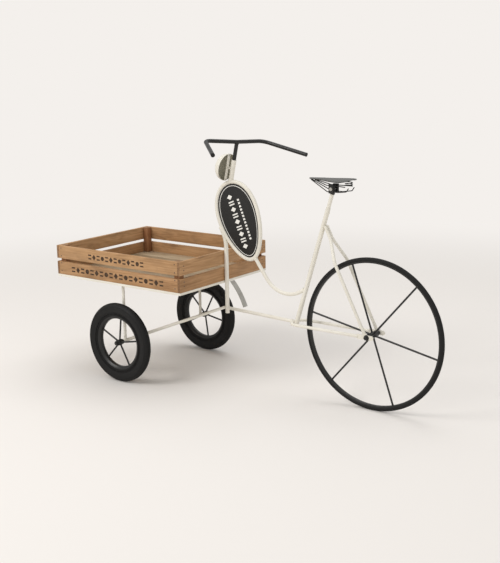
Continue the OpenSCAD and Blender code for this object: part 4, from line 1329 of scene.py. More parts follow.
@dataclass
class Crate(Assembly):
    """The slatted crate: its slats, posts, floor boards, nails and stencilled marks."""

    slat_h: float = 45.0
    slat_gap: float = 11.0
    slat_t: float = 10.0
    corner_post: float = 22.0
    board_count: int = 6
    board_t: float = 8.0
    board_gap: float = 3.0
    nail_r: float = 2.25
    side_nail_dz: float = 13.5
    end_nail_dz: float = 7.2
    nail_sunk: float = 0.8
    nail_proud: float = 0.2
    mark_proud: float = 0.25
    mark_sunk: float = 0.4
    mark_drop: float = 3.0
    mark_round: float = 0.36
    mark_wide: float = 0.4
    bar_lift: float = 0.3
    bar_half: float = 0.12
    upper_marks: tuple[float, int, float] = (0.46, 13, 20.0)
    lower_marks: tuple[float, int, float] = (0.76, 19, 21.0)
    seed: int = 11

    def __post_init__(self) -> None:
        """Start the random draws."""
        self.rng = random.Random(self.seed)

    @property
    def post_inset(self) -> float:
        """How far a corner post's middle is from the crate's faces."""
        return self.slat_t + self.corner_post / 2

    def levels(self) -> list[float]:
        """Give the heights at which the slats start."""
        return [self.at.tray_z + level * (self.slat_h + self.slat_gap) for level in (0, 1)]

    def build(self) -> None:
        """Build the crate."""
        at = self.at
        half = at.crate_w / 2
        woods = [Finish.TIMBER, Finish.TIMBER_END]
        runs = {
            "slats_left": (at.crate_front + self.slat_t, at.crate_rear - self.slat_t,
                           -half, -half + self.slat_t, 0),
            "slats_right": (at.crate_front + self.slat_t, at.crate_rear - self.slat_t,
                            half - self.slat_t, half, 0),
            "slats_front": (at.crate_front, at.crate_front + self.slat_t, -half, half, 1),
            "slats_rear": (at.crate_rear - self.slat_t, at.crate_rear, -half, half, 1),
        }
        for node, (x0, x1, y0, y1, along) in runs.items():
            shape = Shape()
            for low in self.levels():
                shape.board(Vector((x0, y0, low)), Vector((x1, y1, low + self.slat_h)),
                            along, self.rng)
            self.dress(shape, node + "_wood", Body.FRAME, woods, [node], "crate_wood")
        self.posts()
        self.floor()
        self.nails()
        self.marks()

    def posts(self) -> None:
        """Build the four corner posts."""
        at = self.at
        half = self.corner_post / 2
        top = self.levels()[1] + self.slat_h
        shape = Shape()
        for x in (at.crate_front + self.post_inset, at.crate_rear - self.post_inset):
            for side in Side:
                y = side.value * (at.crate_w / 2 - self.post_inset)
                shape.board(Vector((x - half, y - half, at.tray_z + self.board_t)),
                            Vector((x + half, y + half, top)), 2, self.rng, 1.0)
        self.dress(shape, "crate_posts_wood", Body.FRAME,
                   [Finish.POST_TIMBER, Finish.TIMBER_END], ["crate_posts"], "crate_wood")

    def floor(self) -> None:
        """Build the floor boards."""
        at = self.at
        inner = at.crate_w - 2 * self.slat_t
        width = (inner - (self.board_count - 1) * self.board_gap) / self.board_count
        shape = Shape()
        for index in range(self.board_count):
            y = -inner / 2 + index * (width + self.board_gap)
            shape.board(Vector((at.crate_front + self.slat_t, y, at.tray_z)),
                        Vector((at.crate_rear - self.slat_t, y + width,
                                at.tray_z + self.board_t)), 0, self.rng)
        self.dress(shape, "floor_boards_wood", Body.FRAME,
                   [Finish.FLOOR_TIMBER, Finish.TIMBER_END], ["floor_boards"], "crate_wood")

    def nails(self) -> None:
        """Build the nails' heads, two in each end of every slat."""
        at = self.at
        shape = Shape()
        for end in (-1, 1):
            face_x = at.crate_front if end < 0 else at.crate_rear
            post_x = face_x - end * self.post_inset
            for side in Side:
                face_y = side.value * at.crate_w / 2
                post_y = face_y - side.value * self.post_inset
                for level, low in enumerate(self.levels()):
                    z = low + self.slat_h / 2 + (0 if level else self.board_t / 2)
                    for row in (-1, 1):
                        for seat, out in (
                                (Vector((post_x, face_y, z + row * self.side_nail_dz)),
                                 side.out),
                                (Vector((face_x, post_y, z + row * self.end_nail_dz)),
                                 X_AXIS * end)):
                            shape.rod(seat - out * self.nail_sunk, seat + out * self.nail_proud,
                                      self.nail_r, 16, 0.15)
        self.dress(shape, "crate_nails_steel", Body.FRAME, [Finish.NAIL], ["crate_nails"],
                   "grey_steel")

    def marks(self) -> None:
        """Build the plain stencilled rows of bars, dots and lozenges on the side slats."""
        at = self.at
        face = -at.crate_w / 2
        middle = (at.crate_front + at.crate_rear) / 2
        shape = Shape()
        plans = (
            (self.levels()[1] + self.slat_h / 2 - self.mark_drop, *self.upper_marks),
            (self.levels()[0] + self.slat_h / 2, *self.lower_marks),
        )
        upright = Matrix.Rotation(math.radians(90), 4, "X")
        for z, share, count, height in plans:
            pitch = at.crate_len * share / count
            for index in range(count):
                x = middle + (index - (count - 1) / 2) * pitch
                place = Matrix.Translation((x, face, z))
                dot = pitch * self.mark_round
                if index % 4 == 3:
                    self.inlay(shape, place @ Matrix.Diagonal((dot, 1, dot, 1)) @ upright, 16)
                elif index % 2:
                    size = Matrix.Diagonal((pitch * self.mark_wide, 1, height / 2, 1))
                    self.inlay(shape, place @ size @ upright, 4)
                else:
                    for lift in (-1, 1):
                        level = z + lift * height * self.bar_lift
                        shape.block(
                            Vector((x - dot, face - self.mark_proud,
                                    level - height * self.bar_half)),
                            Vector((x + dot, face + self.mark_sunk,
                                    level + height * self.bar_half)), 0.12, 1)
        self.dress(shape, "crate_stencil", Body.FRAME, [Finish.STENCIL], [], "crate_wood")

    def inlay(self, shape: Shape, place: Matrix, sides: int) -> None:
        """Add a flat round or four-cornered mark.

        Args:
            shape: The mesh that takes it.
            place: Where it goes, with its size.
            sides: Its corners.
        """
        made = bmesh.ops.create_circle(shape.bm, cap_ends=True, radius=1.0, segments=sides,
                                       matrix=place)["verts"]
        shape.thicken({f for v in made for f in v.link_faces}, Y_AXIS * -self.mark_proud)


@dataclass
class Sign(Assembly):
    """The egg-shaped hoop with its black plate and white lines."""

    plate_t: float = 2.0
    line_inset: float = 6.0
    line_w: float = 1.8
    line_h: float = 0.4
    steps: int = 120
    head_weld_at: float = 1.5
    head_weld_seat: float = 7.9
    mark_sunk: float = 0.1
    mark_edge: float = 0.15
    pair_pitch: float = 21.0
    pair_rows: int = 4
    pair_across: tuple[float, float] = (-21.0, 1.0)
    pair_along: tuple[float, float] = (2.2, 6.5)
    lozenge_x: float = -10.0
    lozenge_size: tuple[float, float] = (11.0, 8.5)
    tick_pitch: float = 11.0
    tick_rows: int = 6
    tick_across: tuple[float, float] = (16.0, 24.0)
    tick_half: float = 3.2

    @property
    def plate_inset(self) -> float:
        """How far the plate's edge lies inside the hoop's centre line."""
        return self.at.hoop_d / 2 - self.at.weld

    def build(self) -> None:
        """Build the hoop, the plate and its lines."""
        at = self.at
        hoop = Shape()
        points = [at.hoop_point(360 * i / self.steps) for i in range(self.steps)]
        hoop.sweep(points, at.hoop_d / 2, 24, closed=True)
        foot = at.head_foot + at.head_dir * (at.hoop_d / 2 + self.head_weld_at)
        hoop.bead(foot, at.head_dir, self.head_weld_seat)
        self.painted(hoop, "sign_hoop")
        plate = Shape()
        rim = self.outline(plate, self.plate_inset, -self.plate_t / 2, True)
        plate.thicken({f for v in rim for f in v.link_faces}, Z_AXIS * self.plate_t)
        bmesh.ops.transform(plate.bm, matrix=at.sign_place, verts=plate.bm.verts)
        self.dress(plate, "sign_plate_black", Body.FRAME, [Finish.SIGN_BLACK],
                   ["sign_plate"], "sign_black")
        self.lines()

    def outline(self, shape: Shape, inset: float, height: float, capped: bool) -> list[BMVert]:
        """Add the sign's outline.

        Args:
            shape: The mesh that takes it.
            inset: How far inside the hoop's centre line it lies.
            height: Its height over the sign's plane.
            capped: Whether it is filled with a face.

        Returns:
            Its vertices in order.
        """
        made = bmesh.ops.create_circle(shape.bm, cap_ends=capped, radius=1.0,
                                       segments=self.steps)["verts"]
        for vert in made:
            angle = math.degrees(math.atan2(vert.co.y, vert.co.x))
            vert.co = self.at.egg(angle, inset) + Z_AXIS * height
        return made

    def lines(self) -> None:
        """Build the white border and the plain rows of lozenges and bars."""
        base = self.plate_t / 2
        shape = Shape()
        inset = self.plate_inset + self.line_inset
        outer = self.outline(shape, inset, base, False)
        inner = self.outline(shape, inset + self.line_w, base, False)
        loops = [e for group in (outer, inner) for v in group for e in v.link_edges]
        band = bmesh.ops.bridge_loops(shape.bm, edges=list(set(loops)))["faces"]
        shape.thicken(band, Z_AXIS * self.line_h)
        low, high = base - self.mark_sunk, base + self.line_h
        near, far = self.pair_along
        for row in range(-self.pair_rows, self.pair_rows + 1):
            y = row * self.pair_pitch
            if row % 2:
                for start, end in ((y - far, y - near), (y + near, y + far)):
                    self.bar(shape, self.pair_across, (start, end), (low, high))
            else:
                turn = Matrix.Translation((self.lozenge_x, y, 0)) \
                    @ Matrix.Diagonal((*self.lozenge_size, 1, 1)) \
                    @ Matrix.Rotation(math.radians(45), 4, "Z")
                side = math.sqrt(0.5)
                shape.block(Vector((-side, -side, low)), Vector((side, side, high)), 0, 1, turn)
        for row in range(-self.tick_rows, self.tick_rows + 1):
            y = row * self.tick_pitch
            self.bar(shape, self.tick_across, (y - self.tick_half, y + self.tick_half),
                     (low, high))
        bmesh.ops.transform(shape.bm, matrix=self.at.sign_place, verts=shape.bm.verts)
        self.dress(shape, "sign_lines_white", Body.FRAME, [Finish.SIGN_WHITE],
                   ["sign_lines"], "sign_white")

    def bar(self, shape: Shape, across: tuple[float, float], along: tuple[float, float],
            height: tuple[float, float]) -> None:
        """Add a flat bar from the low to the high end of its three spans."""
        low, high = zip(across, along, height)
        shape.block(Vector(low), Vector(high), self.mark_edge, 1)


@dataclass
class Steering(Assembly):
    """The head tube, the stem, the turned handlebar and the lamp."""

    head_tube_d: float = 16.0
    stem_d: float = 12.7
    stem_from: float = 20.0
    bore_floor: float = 30.0
    bar_d: float = 13.0
    bar_turn: float = -18.0
    bend_x: float = -13.0
    bend_y: float = 114.0
    bend_rise: float = 2.5
    bend_r: float = 30.0
    grip_end_y: float = 180.0
    grip_sweep: float = 146.0
    grip_drop: float = 36.0
    cap_t: float = 3.0
    lamp_r: float = 45.0
    lamp_depth: float = 34.0
    lamp_wall: float = 1.5
    lamp_reach: float = 24.0
    lamp_s: float = 46.0
    lamp_bar_t: float = 2.5
    lamp_bar_w: float = 12.0
    lamp_bar_gap: float = 0.5
    lamp_steps: int = 20
    lamp_roll: float = 0.7
    lamp_skin: float = 0.985
    lamp_lip: float = 0.1
    cap_over: float = 0.3
    stem_weld_r: float = 1.5
    screw_inset: float = 3.5
    screw_h: float = 1.5
    screw_r: float = 2.5
    boss_r: float = 4.0
    boss_sink: float = 1.0
    boss_weld: float = 0.4
    boss_weld_r: float = 1.1

    @property
    def turned(self) -> Matrix:
        """The matrix that turns the bar about the head tube."""
        pivot = Matrix.Translation(self.at.bar_middle)
        spin = Matrix.Rotation(math.radians(self.bar_turn), 4, self.at.head_dir)
        return pivot @ spin @ pivot.inverted()

    def build(self) -> None:
        """Build the steering and the lamp."""
        self.head_tube()
        self.bar()
        self.lamp()

    def head_tube(self) -> None:
        """Build the head tube with its open top."""
        at = self.at
        outer = self.head_tube_d / 2
        bore = self.stem_d / 2 + at.running
        run = at.head_tube_len
        shape = Shape()
        shape.open_tube(at.head_foot, at.head_dir, run, outer, bore, self.bore_floor, 0.4)
        self.painted(shape, "head_tube")

    def bar(self) -> None:
        """Build the stem, the bar and its end caps."""
        at = self.at
        middle = at.bar_middle
        bends = {side: middle + Vector((self.bend_x, side.value * self.bend_y, self.bend_rise))
                 for side in Side}
        ends = {side: middle + Vector((self.bend_x + self.grip_sweep,
                                       side.value * self.grip_end_y,
                                       self.bend_rise - self.grip_drop)) for side in Side}
        bar, caps, stem = Shape(), Shape(), Shape()
        bar.sweep(rounded_path([ends[Side.LEFT], bends[Side.LEFT], middle, bends[Side.RIGHT],
                                ends[Side.RIGHT]], self.bend_r, 16), self.bar_d / 2, 28,
                  Z_AXIS)
        for side in Side:
            out = (ends[side] - bends[side]).normalized()
            caps.rod(ends[side], ends[side] + out * self.cap_t, self.bar_d / 2 + self.cap_over,
                     32, 1.0)
        stem.rod(at.head_foot + at.head_dir * self.stem_from, middle, self.stem_d / 2, 32)
        stem.bead(middle - at.head_dir * (self.bar_d / 2), at.head_dir, self.stem_d / 2 - 0.3,
                  self.stem_weld_r)
        for shape, name, node, finish, slot in (
                (bar, "handlebar_black", "handlebar", Finish.BLACK, "black_paint"),
                (caps, "bar_end_caps_black", "bar_end_caps", Finish.PLASTIC, "black_plastic"),
                (stem, "handlebar_stem_black", "handlebar_stem", Finish.BLACK,
                 "black_paint")):
            bmesh.ops.transform(shape.bm, matrix=self.turned, verts=shape.bm.verts)
            self.dress(shape, name, Body.HANDLEBAR, [finish], [node], slot)

    def lamp(self) -> None:
        """Build the lamp's bowl, its bar with two screws, and its boss."""
        at = self.at
        forward = Vector((-at.head_dir.z, 0, at.head_dir.x))
        back = at.head_foot + at.head_dir * self.lamp_s
        rim = back + forward * self.lamp_reach
        curve = [math.radians(90 * i / self.lamp_steps) for i in range(self.lamp_steps + 1)]
        outer = [(self.lamp_r * math.cos(a), self.lamp_depth * math.sin(a)) for a in curve]
        inner = [((self.lamp_r - self.lamp_wall) * math.cos(a),
                  (self.lamp_depth - self.lamp_wall) * math.sin(a)) for a in reversed(curve)]
        roll = [(self.lamp_r - self.lamp_wall / 2, -self.lamp_roll)]
        outer[-1], inner[0] = (0.0, outer[-1][1]), (0.0, inner[0][1])
        bowl = Shape()
        verts = bowl.lathe(outer + inner + roll, rim, forward, 72, closed=True)
        place = aim(rim, forward).inverted()
        # Faces inside the bowl take the darker grey finish, painted shade for the hollow; the
        # outside and the rolled rim stay cream.
        for face in {f for v in verts for f in v.link_faces}:
            face.normal_update()
            spot = place @ face.calc_center_median()
            share = math.hypot(math.hypot(spot.x, spot.y) / self.lamp_r,
                               spot.z / self.lamp_depth)
            face.material_index = int(share < self.lamp_skin and spot.z > self.lamp_lip)
        self.dress(bowl, "lamp_bowl_painted", Body.FRAME, [Finish.CREAM, Finish.LAMP_INSIDE_SHADE],
                   ["lamp_bowl"], "cream_paint")
        bar, boss, screws = Shape(), Shape(), Shape()
        place = Matrix.Translation(rim) @ Matrix((
            at.head_dir, Y_AXIS, -forward)).transposed().to_4x4()
        half = self.lamp_r - self.lamp_bar_gap
        bar.block(Vector((-half, -self.lamp_bar_w / 2, 0)),
                  Vector((half, self.lamp_bar_w / 2, self.lamp_bar_t)), 0.6, 2, place)
        for end in (-1, 1):
            seat = rim - forward * self.lamp_bar_t \
                + at.head_dir * end * (self.lamp_r - self.screw_inset)
            screws.rod(seat, seat - forward * self.screw_h, self.screw_r, 24, 0.6)
        tube_r = self.head_tube_d / 2
        boss.rod(rim - forward * self.lamp_bar_t, back + forward * (tube_r - self.boss_sink),
                 self.boss_r, 32)
        boss.bead(back + forward * (tube_r + self.boss_weld), forward, self.boss_r,
                  self.boss_weld_r)
        self.painted(bar, "lamp_bar")
        self.painted(boss, "lamp_boss")
        self.dress(screws, "lamp_screws_steel", Body.FRAME, [Finish.ZINC], ["small_screws"],
                   "grey_steel")


@dataclass
class SaddleUnit(Assembly):
    """The seat post, the clamp, and the saddle with its wires."""

    post_inserted: float = 130.0
    core_seat: float = 12.0
    collar_wall: float = 1.5
    collar_h: float = 14.0
    collar_gap: float = 4.0
    core_gap: float = 0.3
    barrel_d: float = 13.0
    bolt_d: float = 6.0
    plate_play: float = 0.3
    inner_plate_t: float = 3.0
    outer_plate_t: float = 2.0
    plate_l: float = 18.0
    plate_lip: float = 3.0
    wire_d: float = 3.0
    rail_rise: float = 10.0
    rail_fall: float = -9.0
    saddle_len: float = 152.0
    saddle_w: float = 104.0
    saddle_t: float = 7.0
    saddle_rise: float = 25.0
    saddle_ahead: float = 87.4
    bolt_play: float = 0.1
    bolt_head_t: float = 3.0
    bolt_head_edge: float = 2.5
    bolt_nut_af: float = 10.4
    bolt_nut_t: float = 2.6
    nose_share: float = 0.17
    flare_rate: float = 1.12
    flare_power: float = 2.2
    back_from: float = 0.86
    back_round: float = 0.92
    nose_to: float = 0.08
    nose_least: float = 0.12
    pan_t: float = 2.2
    pan_under: float = 1.2
    pan_roll: float = 3.4
    nose_drop: float = 1.6
    nose_drop_to: float = 0.3
    dish_depth: float = 1.2
    dish_spread: float = 0.2
    wire_gap: float = 0.1
    wire_nose_y: float = 2.6
    upper_wire: tuple[float, float, float, float, float] = (21, 8, 6, 13, 6)
    upper_drop: float = 1.0
    upper_bend_r: float = 14.0
    lower_wire: tuple[float, float, float, float, float] = (7, 6, 16, 10, 4)
    lower_end: float = 2.3
    lower_lift: float = 4.0
    lower_bend_r: float = 6.0
    spring_r: float = 11.0
    spring_turns: float = 2.5
    spring_wire_r: float = 1.3
    spring_steps: int = 96
    spring_ahead: float = 11.4
    spring_seat: float = 1.0
    spring_gap: float = 0.3

    @property
    def core_half(self) -> float:
        """Half of the clamp barrel's length."""
        return self.at.seat_post_d / 2 + self.collar_wall + self.core_gap

    @property
    def rail_y(self) -> float:
        """How far a wire runs from the middle plane at the clamp."""
        return self.core_half + self.plate_play + self.inner_plate_t + self.wire_d / 2

    @property
    def under(self) -> float:
        """The underside of the saddle's top."""
        return self.at.clamp_pin.z + self.saddle_rise

    def build(self) -> None:
        """Build the post, the clamp and the saddle."""
        self.post()
        self.clamp()
        self.top()
        self.wires()

    def post(self) -> None:
        """Build the seat post and the clamp's core on it."""
        at = self.at
        up = at.seat_tube_len + at.seat_post_show + at.clamp_rise
        post = Shape()
        post.rod(at.seat_foot + at.seat_dir * (at.seat_tube_len - self.post_inserted),
                 at.seat_foot + at.seat_dir * (up - self.core_seat), at.seat_post_d / 2, 40)
        self.painted(post, "seat_post", Body.SEAT_POST)
        core = Shape()
        top = up - self.collar_gap
        core.rod(at.seat_foot + at.seat_dir * (top - self.collar_h),
                 at.seat_foot + at.seat_dir * top, at.seat_post_d / 2 + self.collar_wall, 40,
                 0.8)
        pin = at.clamp_pin
        core.rod(pin - Y_AXIS * self.core_half, pin + Y_AXIS * self.core_half,
                 self.barrel_d / 2, 40, 0.6)
        self.blackened(core, "clamp_core", Body.SEAT_POST)

    def clamp(self) -> None:
        """Build the clamp's plates and its bolt."""
        pin = self.at.clamp_pin
        plates = Shape()
        low = pin.z + self.rail_fall - self.wire_d / 2 - self.plate_lip
        high = pin.z + self.rail_rise + self.wire_d / 2 + self.plate_lip
        outer_y = self.rail_y + self.wire_d / 2
        for start, thick in ((self.core_half + self.plate_play, self.inner_plate_t),
                             (outer_y, self.outer_plate_t)):
            for side in Side:
                near, far = sorted((side.value * start, side.value * (start + thick)))
                plates.block(Vector((pin.x - self.plate_l / 2, near, low)),
                             Vector((pin.x + self.plate_l / 2, far, high)), 1.0, 3)
        self.blackened(plates, "clamp_plates", Body.SADDLE)
        bolt = Shape()
        inner = outer_y + self.outer_plate_t + self.bolt_play
        outer = inner + self.bolt_head_t
        bolt.rod(pin - Y_AXIS * inner, pin + Y_AXIS * outer, self.bolt_d / 2, 32, 0.5)
        bolt.rod(pin - Y_AXIS * inner, pin - Y_AXIS * outer,
                 self.bolt_d / 2 + self.bolt_head_edge, 32, 0.9)
        bolt.nut(pin + Y_AXIS * inner, Y_AXIS, self.bolt_nut_af, self.bolt_nut_t)
        self.dress(bolt, "clamp_bolt_black", Body.SEAT_POST, [Finish.ZINC], ["clamp_bolt"],
                   "grey_steel")

    def half_width(self, share: float) -> float:
        """Give half of the top's width at a share of its length from the nose."""
        swell = math.sin(math.radians(90 * min(1, share * self.flare_rate)))
        flare = self.nose_share + (1 - self.nose_share) * swell ** self.flare_power
        behind = max(0.0, share - self.back_from) / (1 - self.back_from)
        ahead = max(0.0, self.nose_to - share) / self.nose_to
        back = math.sqrt(1 - behind ** 2 * self.back_round)
        nose = math.sqrt(max(0.0, 1 - ahead ** 2))
        return self.saddle_w / 2 * flare * back * max(nose, self.nose_least)

    def top(self) -> None:
        """Build the thin top from a grid that takes the outline and a low crown."""
        pin = self.at.clamp_pin
        shape = Shape()
        grid = bmesh.ops.create_grid(shape.bm, x_segments=48, y_segments=24, size=0.5)["verts"]
        for vert in grid:
            share = vert.co.x + 0.5
            across = vert.co.y * 2
            round_edge = (1 - abs(across) ** 4)
            lift = self.saddle_t - self.pan_under - self.pan_roll * (1 - round_edge) \
                - self.nose_drop * max(0.0, self.nose_drop_to - share) / self.nose_drop_to
            dish = -self.dish_depth * math.exp(-((share - 0.5) / self.dish_spread) ** 2) \
                * (1 - across ** 2)
            vert.co = Vector((pin.x - self.saddle_ahead + share * self.saddle_len,
                              across * self.half_width(share), self.under + lift + dish))
        bmesh.ops.recalc_face_normals(shape.bm, faces=shape.bm.faces)
        skin = list(shape.bm.faces)
        if sum(f.normal.z for f in skin) < 0:
            bmesh.ops.reverse_faces(shape.bm, faces=skin)
        bmesh.ops.solidify(shape.bm, geom=skin, thickness=self.pan_t)
        for face in shape.bm.faces:
            face.normal_update()
            face.material_index = int(face.normal.z < -0.2)
        self.dress(shape, "saddle_top_pan", Body.SADDLE, [Finish.SADDLE, Finish.BLACK],
                   ["saddle_top"], "saddle_grey", 50)

    def wires(self) -> None:
        """Build the wires under the top and the spring at its back."""
        pin = self.at.clamp_pin
        nose = pin.x - self.saddle_ahead
        tail = self.saddle_len - self.saddle_ahead
        under = self.under - self.wire_d / 2 - self.wire_gap
        half = self.plate_l / 2
        y, rise, fall = self.rail_y, self.rail_rise, self.rail_fall
        shape = Shape()
        start, lead, trail, end, spread = self.upper_wire
        upper = [Vector((nose + start, self.wire_nose_y, under)),
                 pin + Vector((-half - lead, y, rise)), pin + Vector((half + trail, y, rise)),
                 pin + Vector((tail - end, y + spread, rise - self.upper_drop))]
        start, lead, trail, end, spread = self.lower_wire
        lower = [Vector((nose + start, self.wire_nose_y, under)),
                 pin + Vector((-half - lead, y, fall)), pin + Vector((half + trail, y, fall)),
                 pin + Vector((tail - end, y + spread, fall + self.lower_lift)),
                 pin + Vector((tail - self.lower_end, y + spread, rise - self.lower_lift))]
        paths = ((upper, self.upper_bend_r, Z_AXIS), (lower, self.lower_bend_r, Y_AXIS))
        for corners, bend, up in paths:
            for side in Side:
                path = [Vector((p.x, p.y * side.value, p.z)) for p in corners]
                shape.sweep(rounded_path(path, bend, 6), self.wire_d / 2, 16, up, chamfer=0.6)
        self.blackened(shape, "saddle_rails", Body.SADDLE, "saddle_wires")
        spring = Shape()
        base = pin + Vector((tail - self.spring_ahead, 0, rise + self.spring_seat))
        lift = self.under - base.z - self.wire_d / 2 - self.spring_gap
        steps = self.spring_steps
        path = []
        for i in range(steps + 1):
            angle = math.tau * self.spring_turns * i / steps
            path.append(base + Vector((self.spring_r * math.cos(angle),
                                       self.spring_r * math.sin(angle), lift * i / steps)))
        spring.sweep(path, self.spring_wire_r, 12, Z_AXIS, chamfer=0.3)
        self.blackened(spring, "saddle_spring", Body.SADDLE)


@dataclass
class Wheel(Assembly):
    """A wheel with a hub, straight spokes, a rim and a tyre."""

    hub_d: float = 20.0
    spoke_d: float = 6.0
    spoke_seat: float = 1.0
    spoke_weld_r: float = 0.9
    spoke_weld_in: float = 0.2
    hub_weld: float = 0.3
    rim_weld: float = 0.5
    hub_steps: Profile = ((1.6, 0), (0.9, 0.7), (0.9, 3), (0, 4))

    def hub_and_spokes(self, centre: Vector, length: float, count: int, phase: float,
                       rim_r: float, body: Body, ending: str) -> None:
        """Build the hub and the spokes.

        Args:
            centre: The middle of the wheel.
            length: The hub's length.
            count: The number of spokes.
            phase: The first spoke's angle in degrees.
            rim_r: The radius at which the spokes meet the rim.
            body: The wheel's body.
            ending: The end of the nodes' names.
        """
        outer = self.hub_d / 2
        bore = self.at.axle_d / 2 + self.at.running
        half = length / 2
        hub = Shape()
        end = [(outer - drop, -half + along) for drop, along in self.hub_steps]
        hub.lathe(self.both_ways([(bore, -half), *end]), centre, Y_AXIS, 64)
        spokes = Shape()
        for index in range(count):
            angle = math.radians(phase + 360 * index / count)
            way = Vector((math.cos(angle), 0, math.sin(angle)))
            start = centre + way * (outer - self.spoke_seat)
            end = centre + way * (rim_r + self.spoke_seat)
            spokes.rod(start, end, self.spoke_d / 2, 24)
            for place in (outer + self.hub_weld, rim_r - self.rim_weld):
                spokes.bead(centre + way * place, way, self.spoke_d / 2 - self.spoke_weld_in,
                            self.spoke_weld_r)
        hub_node = "rear_hub" if ending == "rear" else "front_hub_" + ending
        spoke_node = "rear_spokes" if ending == "rear" else "front_spokes_" + ending
        self.blackened(hub, hub_node, body)
        self.blackened(spokes, spoke_node, body)

    @staticmethod
    def both_ways(half: Sequence[tuple[float, float]]) -> list[tuple[float, float]]:
        """Give a profile and its mirror image across the wheel's middle plane."""
        return list(half) + [(r, -y) for r, y in reversed(half)]


@dataclass
class RearWheel(Wheel):
    """The large wheel with its thin tyre, and the fittings on its axle."""

    tyre_d: float = 14.0
    tyre_sides: int = 40
    tyre_steps: int = 180
    groove: float = 0.045
    groove_at: tuple[int, ...] = (6, 8, 32, 34)
    rim_gap: float = 3.0
    rim_inset: float = 1.1
    rim_steps: Profile = ((0, 2.4), (0.5, 1.0), (1.6, 0.3), (5.4, 0), (5.9, 0.5))
    hub_len: float = 50.0
    spoke_count: int = 6
    phase: float = 49.0
    washer_t: float = 1.6
    axle_end: float = 4.0
    spacer_edge: float = 3.0
    washer_edge: float = 4.5

    def build(self) -> None:
        """Build the wheel and the fittings."""
        centre = self.at.rear_axle
        radius = self.at.rear_wheel_r
        mid = radius - self.tyre_d / 2
        half = self.tyre_d / 2
        section = []
        for index in range(self.tyre_sides):
            angle = math.tau * index / self.tyre_sides
            swell = half * (1 - (self.groove if index in self.groove_at else 0.0))
            section.append((mid + swell * math.cos(angle), swell * math.sin(angle)))
        tyre = Shape()
        tyre.lathe(section, centre, Y_AXIS, self.tyre_steps)
        self.dress(tyre, "rear_tyre_rubber", Body.REAR_WHEEL, [Finish.RUBBER],
                   ["rear_tyre"], "tyre_rubber", 30)
        inner = radius - self.tyre_d - self.rim_gap
        lip = half - self.rim_inset
        rim = Shape()
        rim.lathe(self.both_ways([(inner + out, lip - drop) for out, drop in self.rim_steps]),
                  centre, Y_AXIS, self.tyre_steps)
        self.blackened(rim, "rear_rim", Body.REAR_WHEEL)
        self.hub_and_spokes(centre, self.hub_len, self.spoke_count, self.phase, inner,
                            Body.REAR_WHEEL, "rear")
        self.fittings(centre)

    def fittings(self, centre: Vector) -> None:
        """Build the axle, the nuts, the spacers and the washers.

        Args:
            centre: The middle of the axle.
        """
        radius = self.at.axle_d / 2
        face = self.at.stay_half_gap + self.at.dropout_t / 2
        seat = face + self.washer_t
        tip = seat + self.at.nut_t + self.axle_end
        axle, nuts, rings = Shape(), Shape(), Shape()
        axle.rod(centre - Y_AXIS * tip, centre + Y_AXIS * tip, radius, 32, 1.0)
        for side in Side:
            way = side.out
            nuts.nut(centre + way * seat, way, self.at.nut_af, self.at.nut_t)
            for start, end, edge in (
                    (self.hub_len / 2 + self.at.end_play, face - self.at.dropout_t,
                     self.spacer_edge),
                    (face, seat, self.washer_edge)):
                low, high = sorted((side.value * start, side.value * end))
                rings.washer(centre.x, centre.z, low, high, radius, radius + edge)
        self.blackened(axle, "rear_axle")
        self.blackened(nuts, "rear_axle_nuts", Body.FRAME, "rear_nuts")
        self.blackened(rings, "rear_spacers")


@dataclass
class FrontWheel(Wheel):
    """A small wheel with a thick tyre."""

    side: Side = Side.LEFT
    tyre_w: float = 32.0
    rim_r: float = 83.0
    rim_t: float = 9.0
    spoke_count: int = 5
    phase: float = 11.0
    tyre_steps: int = 144
    wall: Profile = (
        (0, 4.6), (1.2, 4.0), (3.4, 4.0), (4.0, 2.2), (5.8, 2.1), (6.4, 4.3), (9.0, 4.1),
        (9.6, 1.7), (11.2, 1.6), (11.8, 3.0), (17.0, 1.4))
    tread: Profile = (
        (16.0, 0.6), (12.5, 0.8), (12.0, 0), (10.4, 0.4), (9.8, 1.6), (7.0, 2.8), (4.2, 5.2),
        (3.2, 6.6), (3.6, 7.3), (2.2, 8.4), (1.0, 11.0), (1.6, 11.6), (1.5, 12.4),
        (0.3, 13.0), (0, 15.6))
    rim_well: Profile = ((0, 11.5), (0.6, 9.6), (2.2, 8.2))
    rim_flange: Profile = ((2.0, 5.2), (0.4, 4.4), (-0.4, 4.6))

    def build(self) -> None:
        """Build the wheel."""
        at = self.at
        centre = at.front_axle + self.side.out * at.track / 2
        ending = self.side.name.lower()
        body = Body.WHEEL_LEFT if self.side is Side.LEFT else Body.WHEEL_RIGHT
        outer = at.front_wheel_r
        crown = self.tyre_w / 2
        bead = self.rim_r + self.rim_t
        tyre = Shape()
        tyre.lathe(self.both_ways(
            [(bead + out, crown - drop) for out, drop in self.wall]
            + [(outer - down, crown - drop) for down, drop in self.tread]),
            centre, Y_AXIS, self.tyre_steps)
        self.dress(tyre, "front_tyre_%s_rubber" % ending, body, [Finish.RUBBER],
                   ["front_tyre_" + ending], "tyre_rubber", 24)
        rim = Shape()
        rim.lathe(self.both_ways(
            [(self.rim_r + out, crown - drop) for out, drop in self.rim_well]
            + [(bead - down, crown - drop) for down, drop in self.rim_flange]),
            centre, Y_AXIS, self.tyre_steps)
        self.blackened(rim, "front_rim_" + ending, body)
        self.hub_and_spokes(centre, at.front_hub_len, self.spoke_count, self.phase, self.rim_r,
                            body, ending)


# ---- studio


@dataclass(frozen=True)
class SoftLight:
    """A square area light, placed and sized in metres, with its power in watts."""

    name: str
    place: tuple[float, float, float]
    size: float
    power: float
    colour: Colour


